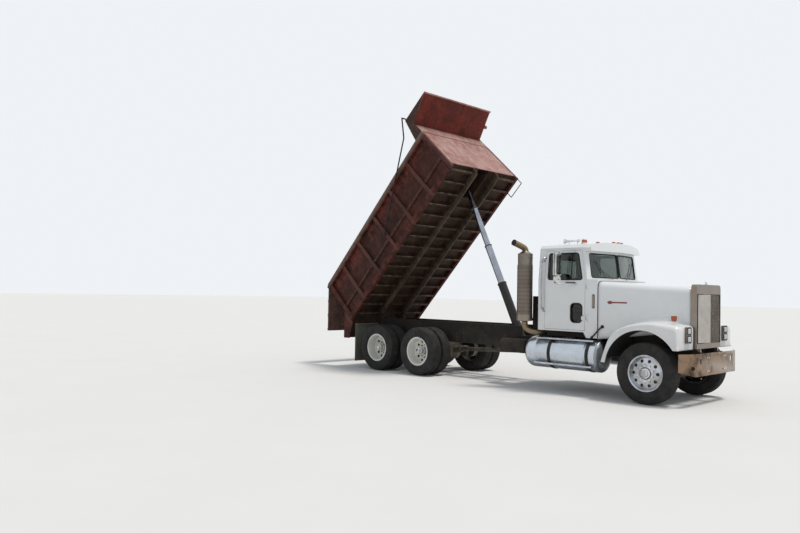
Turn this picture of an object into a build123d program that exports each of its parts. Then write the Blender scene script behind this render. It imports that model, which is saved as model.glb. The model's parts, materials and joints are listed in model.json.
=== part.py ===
from build123d import *

import os
from math import cos, radians, sin

os.makedirs("parts", exist_ok=True)

# A conventional-cab three-axle dump truck, stored with its bed raised.
# Millimetres. X runs forward, Y to the vehicle's left, Z up from the ground.
# Places along X are given from the front axle, which stands at front_axle_x.

# Axles and tyres
front_axle_x = 4017
front_to_tandem = 5528
tandem_spacing = 1370
tyre_radius = 552
tyre_width = 279
tread_width = 222
bead_radius = 311
tread_drop = 12
rim_flange_radius = 326
rim_width = 226
rim_wall = 12
front_tyre_y = 1017
outer_twin_y = 1097
twin_spacing = 330
wheel_disc_wall = 14
disc_flat_radius = 160
hand_holes = 10
hand_hole_radius = 30
hand_hole_ring = 225
front_disc_face = 98
front_rim_face = 58
twin_dish = 62
hub_radius = 88
drum_radius = 205
drum_wall = 15

# Steering
kingpin_y = 900
kingpin_radius = 22
kingpin_eye_radius = 42
pin_clearance = 0.5
spindle_radius = 38
spindle_end_y = 1150
running_clearance = 5

# Axles and drive line
beam_drop = 90
housing_radius = 75
differential_radius = 215
shaft_z = 735

# Frame
rail_y = 432
rail_height = 260
rail_top_z = 1030
rail_flange = 85
rail_wall = 10
frame_front_x = 545
frame_rear_x = -7690
subframe_front_x = -3200
subframe_rear_x = -7420
subframe_top_z = 1235
crossmember_width = 90
crossmember_places = (430, -1950, -2950, -4150, -5000, -6213, -7480)

# Tow plate across the rear, air reservoir on the right rail
tow_plate_wall = 16
tow_hole_radius = 11
tow_hole_spacing_y = 160
tow_hole_spacing_z = 110
reservoir_radius = 150
reservoir_y = 677
reservoir_z = 825
reservoir_rear_x = -3500
reservoir_front_x = -2790
reservoir_dome = 45

# Hydraulic oil tank behind the cab, tail lamps on the hinge brackets
oil_tank_x = (-2590, -2405)
oil_tank_y = (-850, -380)
oil_tank_z = (1235, 1880)
tail_lamp_width = 130
tail_lamp_z = (850, 950)
tail_lamp_depth = 30

# Bed hinge and bed, whose places are given forward of and above the hinge pin
hinge_x = -7600
hinge_z = 1130
tip_angle = 47.3
hinge_pin_radius = 28
hinge_ear_radius = 62
bed_tail = -120
bed_front = 4751
bed_floor_bottom = 300
bed_floor_wall = 12
bed_under = 204
sill_bottom = 110
sill_y = 402
sill_width = 55
cross_bearer_count = 15
cross_bearer_pitch = 323
cross_bearer_first = 70
cross_bearer_width = 60
bed_inner_y = 1165
side_sheet = 12
side_outer_y = 1245
rail_top = 1520
top_rail_height = 140
top_rail_inset = 15
lower_rail_height = 130
mid_rib_bottom = 590
mid_rib_height = 62
mid_rib_depth = 38
post_first = 620
post_pitch = 820
post_count = 5
post_width = 100
post_depth = 58
corner_post_width = 115
front_wall = 12
fold_height = 1886
shield_reach = 715
shield_rise = 200
shield_wall = 10
cheek_y = 1215
cheek_wall = 12
cheek_top = 2150
cheek_back = 4625
cheek_foot = 4480
apron_reach = 480
apron_drop = 250
ear_y = 1190
ear_wall = 22

# Hoist
hoist_base_x = -3446
hoist_base_z = 900
hoist_pin_forward = 4455
hoist_pin_up = 1270
barrel_radius = 97
barrel_length = 1400
barrel_foot = 62
stage_radii = (78, 65, 53, 38)
stage_strokes = (930, 980, 900)
stage_head = 26
stage_collar = 8
stage_gap = 2
stage_clearance = 1
trunnion_radius = 32
rod_eye_radius = 44
rod_eye_width = 90
housing_back = 3920
housing_half_width = 190
housing_wall = 8
housing_top = 1500

# Tailgate, hung from pins at its top
gate_pin_back = 172
gate_pin_up = 1478
gate_bottom = 335
gate_top = 1500
gate_half_width = 1180
gate_sheet = 10
gate_depth = 70
gate_pin_radius = 18
gate_hang = 47.1
gate_inner = 25
gate_rib = 62
gate_rib_count = 4
gate_post_count = 5

# Tarp arms
arm_pivot_forward = 2260
arm_pivot_up = 750
arm_y = 1290
arm_radius = 16
arm_bend_forward = 4330
arm_bend_up = 1838
arm_tip_forward = 4636
arm_tip_up = 2225
arm_eye_radius = 30
arm_pin_radius = 15

# Cab
cab_rear_x = -2360
cab_floor_z = 1210
cab_half_width = 1020
belt_z = 2200
eave_z = 2840
eave_half_width = 960
roof_z = 2955
cab_wall = 45
cab_floor_wall = 25
firewall_x = -1265
cowl_taper_x = -1205
cowl_front_half_width = 965
cowl_front_x = -1045
cowl_top_z = 2225
cowl_bottom_z = 1105
glass_foot_x = -1105
glass_foot_z = 2265
glass_sweep = 0.14
glass_lean = 0.147
header_z = 2775
visor_reach = 130
glass_wall = 6
door_rear_x = -2195
door_front_x = -1278
door_bottom_z = 1240
door_top_z = 2795
door_gap = 6
door_hinge_x = -1272
door_hinge_y = 1040
door_hinge_places = (1480, 2080)
door_hinge_radius = 12
door_hinge_height = 70
door_hinge_pin_radius = 6
window_corner = 55
peep_x = (-1590, -1345)
peep_z = (1393, 1755)
peep_corner = 75
handle_x = (-1700, -1470)
handle_z = (2140, 2175)
pane_inner_y = 32
pane_outer_y = 880
pane_height = 470
pane_corner = 45
rear_window_half = 430
rear_window_z = (2270, 2650)
glass_inset = 12
grab_rail_x = -2238
grab_rail_y = 1078
grab_rail_z = (1640, 2590)
grab_rail_radius = 13

# Mirrors on the doors
mirror_x = -1775
mirror_y = 1222
mirror_half_width = 88
mirror_depth = 32
mirror_z = (2295, 2735)
mirror_arm_z = (2125, 2764)
mirror_arm_x = (-1430, -1520)
mirror_arm_radius = 12
round_mirror_z = 2215
round_mirror_radius = 78

# Cab interior
seat_y = 450
seat_half_width = 250
dash_top_z = 2210
steering_hub_x = -1600
steering_hub_z = 1900
steering_lean = 30
steering_rim_radius = 225

# Roof lamps, beacon and horn
marker_places = (-640, -150, 0, 150, 640)
marker_size = (80, 62, 38)
beacon_x = -1580
beacon_y = -560
beacon_radius = 62
beacon_height = 120
horn_x = (-2040, -1690)
horn_z = 3010
horn_radius = 22
horn_bell_radius = 48

# Hood and fenders
hood_rear_x = -1035
hood_front_x = 560
hood_rear_half_width = 960
hood_front_half_width = 500
hood_rear_top_z = 2200
hood_front_top_z = 2110
hood_bottom_z = 1085
hood_front_bottom_z = 1000
hood_corner = 120
hood_skin = 22
fender_y = 1200
fender_inner_y = 470
fender_crown_z = 1448
fender_front_x = 612
fender_front_bottom_z = 990
fender_edge = 55
arch_radius = 700
arch_x = -55
arch_z = 610
hood_hinge_x = 740
hood_hinge_z = 890
hood_eye_radius = 30
hood_pin_radius = 15
hood_arm_wall = 45
horn_wall = 25

# Grille
surround_front_x = 665
surround_half_width = 522
surround_bottom_z = 1000
surround_top_z = 2150
surround_corner = 70
grille_half_width = 490
grille_bottom_z = 1100
grille_top_z = 1972
grille_ridge = 42
grille_bar_count = 20
grille_bar_width = 12
grille_tie = 24

# Headlamps
lamp_y = 795
lamp_half_width = 98
lamp_z = (1110, 1395)
lamp_depth = 38
lamp_lens_half_width = 78
lamp_lens_half_height = 56
lamp_lens_depth = 12

# Front bumper
bumper_front_x = 800
bumper_crease_y = 870
bumper_end_x = 643
bumper_end_y = 1200
bumper_top_z = 938
bumper_bottom_z = 545
bumper_end_bottom_z = 625
bumper_wall = 10
bumper_hole = (920, 690)
bumper_hole_radius = 38
bumper_slot = (660, 800)
bumper_slot_size = (54, 90)

# Fuel tanks
tank_rear_x = -2640
tank_front_x = -935
tank_y = 842
tank_z = 765
tank_radius = 310
tank_strap_places = (-2008, -1167)
tank_strap_width = 65
tank_strap_wall = 5
step_x = (-2337, -1055)
upper_step_y = (900, 1092)
upper_step_z = 1040
lower_step_y = (1050, 1165)
lower_step_z = 552
step_wall = 28

# Exhaust stack on the right
stack_x = -2665
stack_y = -1030
muffler_radius = 160
muffler_bottom_z = 1345
muffler_top_z = 2800
pipe_radius = 62
lower_pipe_radius = 45
lower_pipe_z = 1142
inboard_y = -295

# Mud flaps
flap_x = -7710
flap_wall = 10
flap_y = (640, 1200)
flap_z = (160, 1100)
flap_bar = 40

# Derived places, all still from the front axle
fork_gap = 90 / 2 + running_clearance
tandem_1_x = -front_to_tandem
tandem_2_x = tandem_1_x - tandem_spacing
inner_twin_y = outer_twin_y - twin_spacing
rail_bottom_z = rail_top_z - rail_height


def at_x(x):
    """Turns a place measured from the front axle into a place in the model."""
    return front_axle_x + x


def across(side, y0, y1):
    """Two places out from the centre line, as a rising pair on one side."""
    return sorted((side * y0, side * y1))


def block(x0, x1, y0, y1, z0, z1, mode=Mode.ADD):
    """A plain block between two corners, its x values measured from the front axle."""
    with Locations((at_x((x0 + x1) / 2), (y0 + y1) / 2, (z0 + z1) / 2)):
        Box(x1 - x0, y1 - y0, z1 - z0, mode=mode)


def slab(side, x0, x1, z0, z1, y0, y1, mode=Mode.ADD):
    """A rectangle drawn on a side plane, extruded across from y1 down to y0."""
    with BuildSketch(side.offset(-y1)) as outline:
        with Locations(((x0 + x1) / 2, (z0 + z1) / 2)):
            Rectangle(x1 - x0, z1 - z0)
    extrude(outline.sketch, amount=y1 - y0, mode=mode)


def plate(side, corners, y0, y1, mode=Mode.ADD):
    """A polygon drawn on a side plane, extruded across from y1 down to y0."""
    with BuildSketch(side.offset(-y1)) as outline:
        with BuildLine():
            Polyline(*corners, close=True)
        make_face()
    extrude(outline.sketch, amount=y1 - y0, mode=mode)


def rounded_plate(side, corners, radius, y0, y1, mode=Mode.ADD):
    """A polygon with rounded corners on a side plane, extruded across from y1 down to y0."""
    with BuildSketch(side.offset(-y1)) as outline:
        with BuildLine():
            FilletPolyline(*corners, radius=radius, close=True)
        make_face()
    extrude(outline.sketch, amount=y1 - y0, mode=mode)


def disc(side, x, z, radius, y0, y1, mode=Mode.ADD):
    """A round bar across the vehicle between y0 and y1, at a place on a side plane."""
    with BuildSketch(side.offset(-y1)) as outline:
        with Locations((x, z)):
            Circle(radius)
    extrude(outline.sketch, amount=y1 - y0, mode=mode)


def tube(start, end, radius, mode=Mode.ADD):
    """A round bar from one point to another."""
    run = Vector(*end) - Vector(*start)
    with BuildSketch(Plane(origin=start, z_dir=run)) as outline:
        Circle(radius)
    extrude(outline.sketch, amount=run.length, mode=mode)


def turned(axis_origin, axis_dir, profile, mode=Mode.ADD):
    """A solid turned about an axis, from (along, radius) pairs."""
    axis_vector = Vector(*axis_dir)
    across = Vector(0, 0, 1) if abs(axis_vector.Z) < 0.5 else Vector(0, 1, 0)
    with BuildSketch(Plane(origin=axis_origin, x_dir=axis_dir, z_dir=axis_vector.cross(across))) as half:
        with BuildLine():
            Polyline(*profile, close=True)
        make_face()
    revolve(half.sketch, axis=Axis(axis_origin, axis_dir), mode=mode)


def save(solid, name):
    """Labels a finished piece and writes it."""
    solid.label = name
    export_step(solid, f"parts/{name}.step")


# Side planes look at the vehicle's right side: local x forward, local y up, normal to the right.
truck_side = Plane(origin=(front_axle_x, 0, 0), x_dir=(1, 0, 0), z_dir=(0, -1, 0))
tip = radians(tip_angle)
hinge_point = Vector(at_x(hinge_x), 0, hinge_z)
bed_forward = Vector(cos(tip), 0, sin(tip))
bed_up = Vector(-sin(tip), 0, cos(tip))
bed_side = Plane(origin=hinge_point, x_dir=bed_forward, z_dir=(0, -1, 0))


def on_bed(forward, up, y=0):
    """A point on the raised bed, from its place forward of and above the hinge pin."""
    point = hinge_point + bed_forward * forward + bed_up * up
    return (point.X, y, point.Z)


# Frame: channel rails, cross-members, subframe and hinge brackets
rail_web = rail_y - rail_wall
with BuildPart() as frame:
    with BuildSketch(Plane.YZ.offset(at_x(frame_rear_x))):
        with Locations((rail_y - rail_flange / 2, rail_top_z - rail_height / 2)):
            Rectangle(rail_flange, rail_height)
        with Locations((rail_web - (rail_flange - rail_wall) / 2, rail_top_z - rail_height / 2)):
            Rectangle(rail_flange - rail_wall, rail_height - 2 * rail_wall, mode=Mode.SUBTRACT)
    extrude(amount=frame_front_x - frame_rear_x)
    slab(truck_side, subframe_rear_x, subframe_front_x, rail_top_z, subframe_top_z,
         rail_y - rail_flange, rail_y)
    bracket_front = subframe_rear_x + 260
    plate(truck_side, [(bracket_front, rail_bottom_z + 40), (frame_rear_x, rail_bottom_z + 40),
                       (hinge_x - 80, hinge_z), (hinge_x - 40, hinge_z + 75),
                       (hinge_x + 60, hinge_z + 75), (bracket_front, subframe_top_z - 40)],
          rail_y, rail_y + ear_wall)
    disc(truck_side, hinge_x, hinge_z, hinge_pin_radius + pin_clearance, rail_y - 1, rail_y + ear_wall + 1,
         mode=Mode.SUBTRACT)
    mirror(about=Plane.XZ)
    for place in crossmember_places:
        block(place - crossmember_width / 2, place + crossmember_width / 2, -rail_web, rail_web,
              rail_bottom_z + rail_wall + 20, rail_top_z - rail_wall - 20)
    for side in (-1, 1):
        inner, outer = across(side, rod_eye_width / 2 + barrel_radius, rail_web)
        disc(truck_side, hoist_base_x, hoist_base_z, trunnion_radius * 2, inner, outer)
        disc(truck_side, hoist_base_x, hoist_base_z, trunnion_radius + pin_clearance, inner - 1, outer + 1,
             mode=Mode.SUBTRACT)
        disc(truck_side, hood_hinge_x, hood_hinge_z, hood_pin_radius,
             *across(side, rail_y - 2 * horn_wall - hood_arm_wall, rail_y))
        plate(truck_side, [(frame_front_x - 45, rail_bottom_z),
                           (bumper_front_x - bumper_wall, rail_bottom_z - 25),
                           (bumper_front_x - bumper_wall, hood_hinge_z + 35),
                           (frame_front_x + 70, hood_hinge_z + 70), (frame_front_x - 45, hood_hinge_z + 70)],
              *across(side, rail_y - horn_wall, rail_y))
        for place, height in ((cab_rear_x + 110, cab_floor_z), (firewall_x, cowl_bottom_z)):
            slab(truck_side, place - 50, place + 50, rail_top_z, height,
                 *across(side, rail_y - rail_flange, rail_y))
        block(frame_rear_x - tail_lamp_depth, frame_rear_x + 5,
              *across(side, rail_y + 2, rail_y + tail_lamp_width), *tail_lamp_z)
    block(frame_rear_x, frame_rear_x + tow_plate_wall, -rail_web, rail_web,
          rail_bottom_z + rail_wall, rail_top_z - rail_wall)
    for y in (-tow_hole_spacing_y / 2, tow_hole_spacing_y / 2):
        for z in (-tow_hole_spacing_z / 2, tow_hole_spacing_z / 2):
            tube((at_x(frame_rear_x) - 1, y, rail_top_z - rail_height / 2 + z),
                 (at_x(frame_rear_x) + tow_plate_wall + 1, y, rail_top_z - rail_height / 2 + z),
                 tow_hole_radius, mode=Mode.SUBTRACT)
    reservoir_length = reservoir_front_x - reservoir_rear_x
    turned((at_x(reservoir_rear_x), -reservoir_y, reservoir_z), (1, 0, 0),
           [(0, 0), (0, reservoir_radius - 60), (reservoir_dome, reservoir_radius),
            (reservoir_length - reservoir_dome, reservoir_radius), (reservoir_length, reservoir_radius - 60),
            (reservoir_length, 0)])
    for place in (reservoir_rear_x + 150, reservoir_front_x - 150):
        block(place - 25, place + 25, -reservoir_y, -rail_y, reservoir_z - 40, reservoir_z + 40)
    block(*oil_tank_x, *oil_tank_y, *oil_tank_z)
    block(*oil_tank_x, -rail_y, oil_tank_y[1], rail_top_z, oil_tank_z[0])
save(frame.part, "frame")

# Front axle beam with kingpins and leaf springs
beam_z = tyre_radius - beam_drop
with BuildPart() as front_axle:
    with BuildSketch(Plane.YZ.offset(at_x(-50))):
        with BuildLine():
            Polyline((0, beam_z - 60), (560, beam_z - 60), (700, tyre_radius - 45),
                     (kingpin_y, tyre_radius - 45), (kingpin_y, tyre_radius + 45), (690, tyre_radius + 45),
                     (540, beam_z + 60), (0, beam_z + 60), close=True)
        make_face()
    extrude(amount=100)
    with Locations((at_x(0), kingpin_y, tyre_radius)):
        Cylinder(kingpin_eye_radius, 90)
        Cylinder(kingpin_radius, 230)
    spring_top_z = beam_z + 60 + 85
    spring_y0 = rail_y - rail_flange + 8
    spring_y1 = rail_y - 8
    slab(truck_side, -70, 70, beam_z + 60, spring_top_z, spring_y0, spring_y1)
    plate(truck_side, [(-760, rail_bottom_z - 25), (-700, rail_bottom_z - 45), (-90, spring_top_z),
                       (90, spring_top_z), (470, rail_bottom_z - 45), (500, rail_bottom_z - 25),
                       (470, rail_bottom_z - 12), (60, spring_top_z + 62), (-60, spring_top_z + 62),
                       (-700, rail_bottom_z - 12)], spring_y0, spring_y1)
    for place in (-730, 470):
        slab(truck_side, place - 25, place + 25, rail_bottom_z - 30, rail_bottom_z, spring_y0, spring_y1)
    mirror(about=Plane.XZ)
save(front_axle.part, "front_axle")

# Steering knuckles: a fork over the axle's eye and a spindle for the hub
fork_y = kingpin_y + kingpin_eye_radius + running_clearance + 3
for side, side_name in ((1, "left"), (-1, "right")):
    with BuildPart() as knuckle:
        for low in (-fork_gap - 34, fork_gap):
            with Locations((at_x(0), kingpin_y, tyre_radius + low + 17)):
                Cylinder(kingpin_eye_radius, 34)
            block(-40, 40, kingpin_y, fork_y + 26, tyre_radius + low, tyre_radius + low + 34)
        block(-52, 52, fork_y, fork_y + 26, tyre_radius - fork_gap - 34, tyre_radius + fork_gap + 34)
        with Locations((at_x(0), kingpin_y, tyre_radius)):
            Cylinder(kingpin_radius + pin_clearance, 260, mode=Mode.SUBTRACT)
        tube((at_x(0), fork_y + 26, tyre_radius), (at_x(0), spindle_end_y, tyre_radius), spindle_radius)
        if side < 0:
            mirror(about=Plane.XZ, mode=Mode.REPLACE)
    save(knuckle.part, f"steering_knuckle_{side_name}")

# Rear axles: housings with a round differential, and the walking beams between them
saddle_x = (tandem_1_x + tandem_2_x) / 2
with BuildPart() as rear_axles:
    for place in (tandem_1_x, tandem_2_x):
        disc(truck_side, place, tyre_radius, housing_radius, -inner_twin_y + 175, inner_twin_y - 175)
        disc(truck_side, place, tyre_radius, spindle_radius, -outer_twin_y + 40, outer_twin_y - 40)
        with Locations((at_x(place), 0, tyre_radius)):
            Cylinder(differential_radius, 240, rotation=(0, 90, 0))
        tube((at_x(place + 60), 0, tyre_radius), (at_x(place + 330), 0, tyre_radius + 35), 85)
    for side in (-1, 1):
        plate(truck_side, [(tandem_2_x - 90, tyre_radius - 175), (tandem_1_x + 90, tyre_radius - 175),
                           (tandem_1_x + 90, tyre_radius - 60), (saddle_x + 90, tyre_radius - 20),
                           (saddle_x - 90, tyre_radius - 20), (tandem_2_x - 90, tyre_radius - 60)],
              *across(side, 455, 535))
        plate(truck_side, [(saddle_x - 110, tyre_radius - 30), (saddle_x + 110, tyre_radius - 30),
                           (saddle_x + 260, rail_bottom_z + 60), (saddle_x - 260, rail_bottom_z + 60)],
              *across(side, rail_y, 500))
save(rear_axles.part, "rear_axles")

# Engine with radiator, gearbox and drive shafts, as plain forms in one chain
with BuildPart() as driveline:
    block(-1000, 330, -320, 320, 660, 1600)
    block(330, 420, -60, 60, 1300, 1400)
    block(420, 520, -400, 400, 1050, 1960)
    block(-1850, -1000, -240, 240, 640, 1060)
    block(-650, -550, -rail_web, rail_web, 850, 930)
    tube((at_x(-1840), 0, shaft_z), (at_x(tandem_1_x + 310), 0, tyre_radius + 32), 48)
    tube((at_x(tandem_1_x - 100), 0, tyre_radius + 35), (at_x(tandem_2_x + 310), 0, tyre_radius + 32), 40)
    add(rear_axles.part, mode=Mode.SUBTRACT)
save(driveline.part, "driveline")

# Tyres and wheels, drawn for the left side and mirrored for the right
bead_half = rim_width / 2 - rim_wall
sidewall_half = tyre_width / 2
tyre_outline = (
    (-bead_half, bead_radius),
    (-sidewall_half, (bead_radius + tyre_radius) / 2),
    (-tread_width / 2, tyre_radius - tread_drop),
    (-tread_width / 2 + 25, tyre_radius),
    (tread_width / 2 - 25, tyre_radius),
    (tread_width / 2, tyre_radius - tread_drop),
    (sidewall_half, (bead_radius + tyre_radius) / 2),
    (bead_half, bead_radius),
)
rim_inner_radius = bead_radius - rim_wall
rim_outline = (
    (-rim_width / 2, rim_inner_radius),
    (-rim_width / 2, rim_flange_radius),
    (-bead_half, bead_radius),
    (bead_half, bead_radius),
    (rim_width / 2, rim_flange_radius),
    (rim_width / 2, rim_inner_radius),
)
hub_bore = spindle_radius + running_clearance


def wheel_disc(x, y, rim_side, hub_side, face, mode=Mode.ADD):
    """A dished disc from the rim's inner wall to the hub, with its outward face stepped by face."""
    wall = wheel_disc_wall
    turned((at_x(x), y, tyre_radius), (0, 1, 0),
           [(hub_side, hub_radius - 5), (hub_side, disc_flat_radius), (rim_side, rim_inner_radius + 2),
            (rim_side - face * wall, rim_inner_radius + 2), (hub_side - face * wall, disc_flat_radius - wall),
            (hub_side - face * wall, hub_radius - 5)], mode=mode)


def hand_hole_cuts(x, y0, y1):
    """The round holes through a disc, on their ring about the hub."""
    with BuildSketch(truck_side.offset(-y1)) as ring:
        with Locations((x, tyre_radius)):
            with PolarLocations(hand_hole_ring, hand_holes):
                Circle(hand_hole_radius)
    extrude(ring.sketch, amount=y1 - y0, mode=Mode.SUBTRACT)


hub_nose_y = spindle_end_y + 18
for side, side_name in ((1, "left"), (-1, "right")):
    with BuildPart() as front_tyre:
        turned((at_x(0), front_tyre_y, tyre_radius), (0, 1, 0), tyre_outline)
        if side < 0:
            mirror(about=Plane.XZ, mode=Mode.REPLACE)
    save(front_tyre.part, f"tyre_front_{side_name}")
    with BuildPart() as front_wheel:
        turned((at_x(0), front_tyre_y, tyre_radius), (0, 1, 0), rim_outline)
        wheel_disc(0, front_tyre_y, front_rim_face, front_disc_face, 1)
        turned((at_x(0), 0, tyre_radius), (0, 1, 0),
               [(fork_y + 45, 0), (fork_y + 45, hub_radius), (front_tyre_y + front_disc_face + 8, hub_radius),
                (front_tyre_y + front_disc_face + 20, hub_radius - 18), (hub_nose_y + 14, hub_radius - 22),
                (hub_nose_y + 22, hub_radius - 34), (hub_nose_y + 22, 0)])
        turned((at_x(0), 0, tyre_radius), (0, 1, 0),
               [(kingpin_y + 20, drum_radius - drum_wall), (kingpin_y + 20, drum_radius),
                (1075, drum_radius), (1075, hub_radius - 5), (1060, hub_radius - 5),
                (1060, drum_radius - drum_wall)])
        turned((at_x(0), 0, tyre_radius), (0, 1, 0),
               [(fork_y, 0), (fork_y, hub_bore), (hub_nose_y - 10, hub_bore), (hub_nose_y - 10, 0)],
               mode=Mode.SUBTRACT)
        hand_hole_cuts(0, front_tyre_y + 30, front_tyre_y + 90)
        if side < 0:
            mirror(about=Plane.XZ, mode=Mode.REPLACE)
    save(front_wheel.part, f"wheel_front_{side_name}")

# Twin wheels: both discs meet at the hub's flange between the two tyres
flange_y = (outer_twin_y + inner_twin_y) / 2
twin_hub_inner_y = inner_twin_y - 165
for axle_name, axle_place in (("middle", tandem_1_x), ("rear", tandem_2_x)):
    for side, side_name in ((1, "left"), (-1, "right")):
        with BuildPart() as twin_tyres:
            for tyre_y in (inner_twin_y, outer_twin_y):
                turned((at_x(axle_place), tyre_y, tyre_radius), (0, 1, 0), tyre_outline)
            if side < 0:
                mirror(about=Plane.XZ, mode=Mode.REPLACE)
        save(twin_tyres.part, f"tyres_{axle_name}_{side_name}")
        with BuildPart() as twin_wheels:
            for tyre_y in (inner_twin_y, outer_twin_y):
                turned((at_x(axle_place), tyre_y, tyre_radius), (0, 1, 0), rim_outline)
            wheel_disc(axle_place, flange_y, twin_dish, wheel_disc_wall, 1)
            hand_hole_cuts(axle_place, flange_y, flange_y + 90)
            wheel_disc(axle_place, flange_y, -twin_dish, -wheel_disc_wall, -1)
            turned((at_x(axle_place), 0, tyre_radius), (0, 1, 0),
                   [(twin_hub_inner_y, 0), (twin_hub_inner_y, hub_radius), (flange_y + 20, hub_radius),
                    (flange_y + 90, hub_radius - 15), (outer_twin_y + 45, 52), (outer_twin_y + 62, 0)])
            turned((at_x(axle_place), 0, tyre_radius), (0, 1, 0),
                   [(twin_hub_inner_y + 15, hub_radius - 5), (twin_hub_inner_y + 15, drum_radius),
                    (flange_y - 60, drum_radius), (flange_y - 60, hub_radius - 5)])
            turned((at_x(axle_place), 0, tyre_radius), (0, 1, 0),
                   [(twin_hub_inner_y - 10, 0), (twin_hub_inner_y - 10, hub_bore),
                    (outer_twin_y - 40 + running_clearance, hub_bore),
                    (outer_twin_y - 40 + running_clearance, 0)], mode=Mode.SUBTRACT)
            if side < 0:
                mirror(about=Plane.XZ, mode=Mode.REPLACE)
        save(twin_wheels.part, f"wheels_{axle_name}_{side_name}")

# Cab: an outer and an inner form shared by shell and doors
cab_outline = (
    (cab_half_width, cab_floor_z),
    (cab_half_width, belt_z),
    (eave_half_width, eave_z),
    (eave_half_width - 60, eave_z + 62),
    (520, roof_z),
)
cab_inline = (
    (cab_half_width - cab_wall, cab_floor_z + cab_floor_wall),
    (cab_half_width - cab_wall, belt_z),
    (eave_half_width - cab_wall, eave_z - 20),
    (eave_half_width - cab_wall - 60, eave_z + 62 - cab_wall),
    (520, roof_z - cab_wall),
)


def cab_form(outline, x0, x1):
    """The cab's cross-section, given as (half width, z) from sill to crown, drawn out along X."""
    right = [(-half, z) for half, z in reversed(outline)]
    with BuildSketch(Plane.YZ.offset(at_x(x0))) as section:
        with BuildLine():
            Polyline(*outline, *right, close=True)
        make_face()
    extrude(section.sketch, amount=x1 - x0)


def glass_x(y, z):
    """Where the windshield's outer surface stands, swept back from the centre and leaning back."""
    return glass_foot_x - glass_sweep * abs(y) - glass_lean * (z - glass_foot_z)


def cut_ahead_of_glass(forward, low_z, high_z):
    """Cuts away all that lies ahead of the windshield's two planes, moved forward by a distance."""
    reach = 1300
    for side in (-1, 1):
        sections = []
        for z in (low_z, high_z):
            with BuildSketch(Plane.XY.offset(z)) as section:
                with BuildLine():
                    Polyline((at_x(glass_x(0, z) + forward), 0),
                             (at_x(glass_x(reach, z) + forward), side * reach),
                             (at_x(reach), side * reach), (at_x(reach), 0), close=True)
                make_face()
            sections.append(section.sketch.face())
        loft(sections, ruled=True, mode=Mode.SUBTRACT)


def taper_cowl(low_z, high_z):
    """Narrows the cowl's sides ahead of the doors down to the hood's width."""
    for side in (-1, 1):
        with BuildSketch(Plane.XY.offset(low_z)) as corner:
            with BuildLine():
                Polyline((at_x(cowl_taper_x), side * cab_half_width),
                         (at_x(cowl_front_x), side * cowl_front_half_width),
                         (at_x(cowl_front_x) + 10, side * cowl_front_half_width),
                         (at_x(cowl_front_x) + 10, side * (cab_half_width + 10)),
                         (at_x(cowl_taper_x), side * (cab_half_width + 10)), close=True)
            make_face()
        extrude(corner.sketch, amount=high_z - low_z, mode=Mode.SUBTRACT)


with BuildPart() as cab_blank:
    cab_form(cab_outline, cab_rear_x, cowl_front_x)
    fillet(cab_blank.faces().sort_by(Axis.X)[0].edges().group_by(Axis.Z)[1:], radius=35)
    cut_ahead_of_glass(0, cowl_top_z, header_z)
    cut_ahead_of_glass(visor_reach, header_z, roof_z + 60)
    taper_cowl(cab_floor_z - 1, cowl_top_z + 10)
with BuildPart() as cab_inside:
    cab_form(cab_inline, cab_rear_x + cab_wall, cowl_front_x)
    cut_ahead_of_glass(-cab_wall, cowl_top_z, roof_z + 60)
    block(firewall_x, 0, -cab_half_width, cab_half_width, cowl_bottom_z, cowl_top_z, mode=Mode.SUBTRACT)

pillar_top_x = glass_x(cab_half_width, header_z) - 62
door_outline = [(door_rear_x, door_bottom_z), (door_front_x, door_bottom_z), (door_front_x, belt_z + 30),
                (pillar_top_x, door_top_z), (door_rear_x, door_top_z)]
side_window = [(door_rear_x + 75, belt_z + 17), (door_front_x - 62, belt_z + 17),
               (pillar_top_x - 70, door_top_z - 60), (door_rear_x + 75, door_top_z - 60)]
peep_window = [(peep_x[0], peep_z[0]), (peep_x[1], peep_z[0]), (peep_x[1], peep_z[1]), (peep_x[0], peep_z[1])]


def pane(side, shrink, front, depth, mode):
    """One windshield pane, drawn on the glass plane of a side and extruded back through its depth."""
    across = Vector(-glass_sweep, side, 0).normalized()
    normal = across.cross(Vector(-glass_lean, 0, 1)) * side
    foot = Vector(at_x(glass_x(0, glass_foot_z)), 0, glass_foot_z)
    with BuildSketch(Plane(origin=foot, x_dir=across, z_dir=normal).offset(front)) as outline:
        with Locations(((pane_outer_y + pane_inner_y) / 2, side * pane_height / 2)):
            RectangleRounded(pane_outer_y - pane_inner_y - 2 * shrink, pane_height - 2 * shrink,
                             pane_corner - shrink)
    extrude(outline.sketch, amount=-depth, mode=mode)


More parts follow.
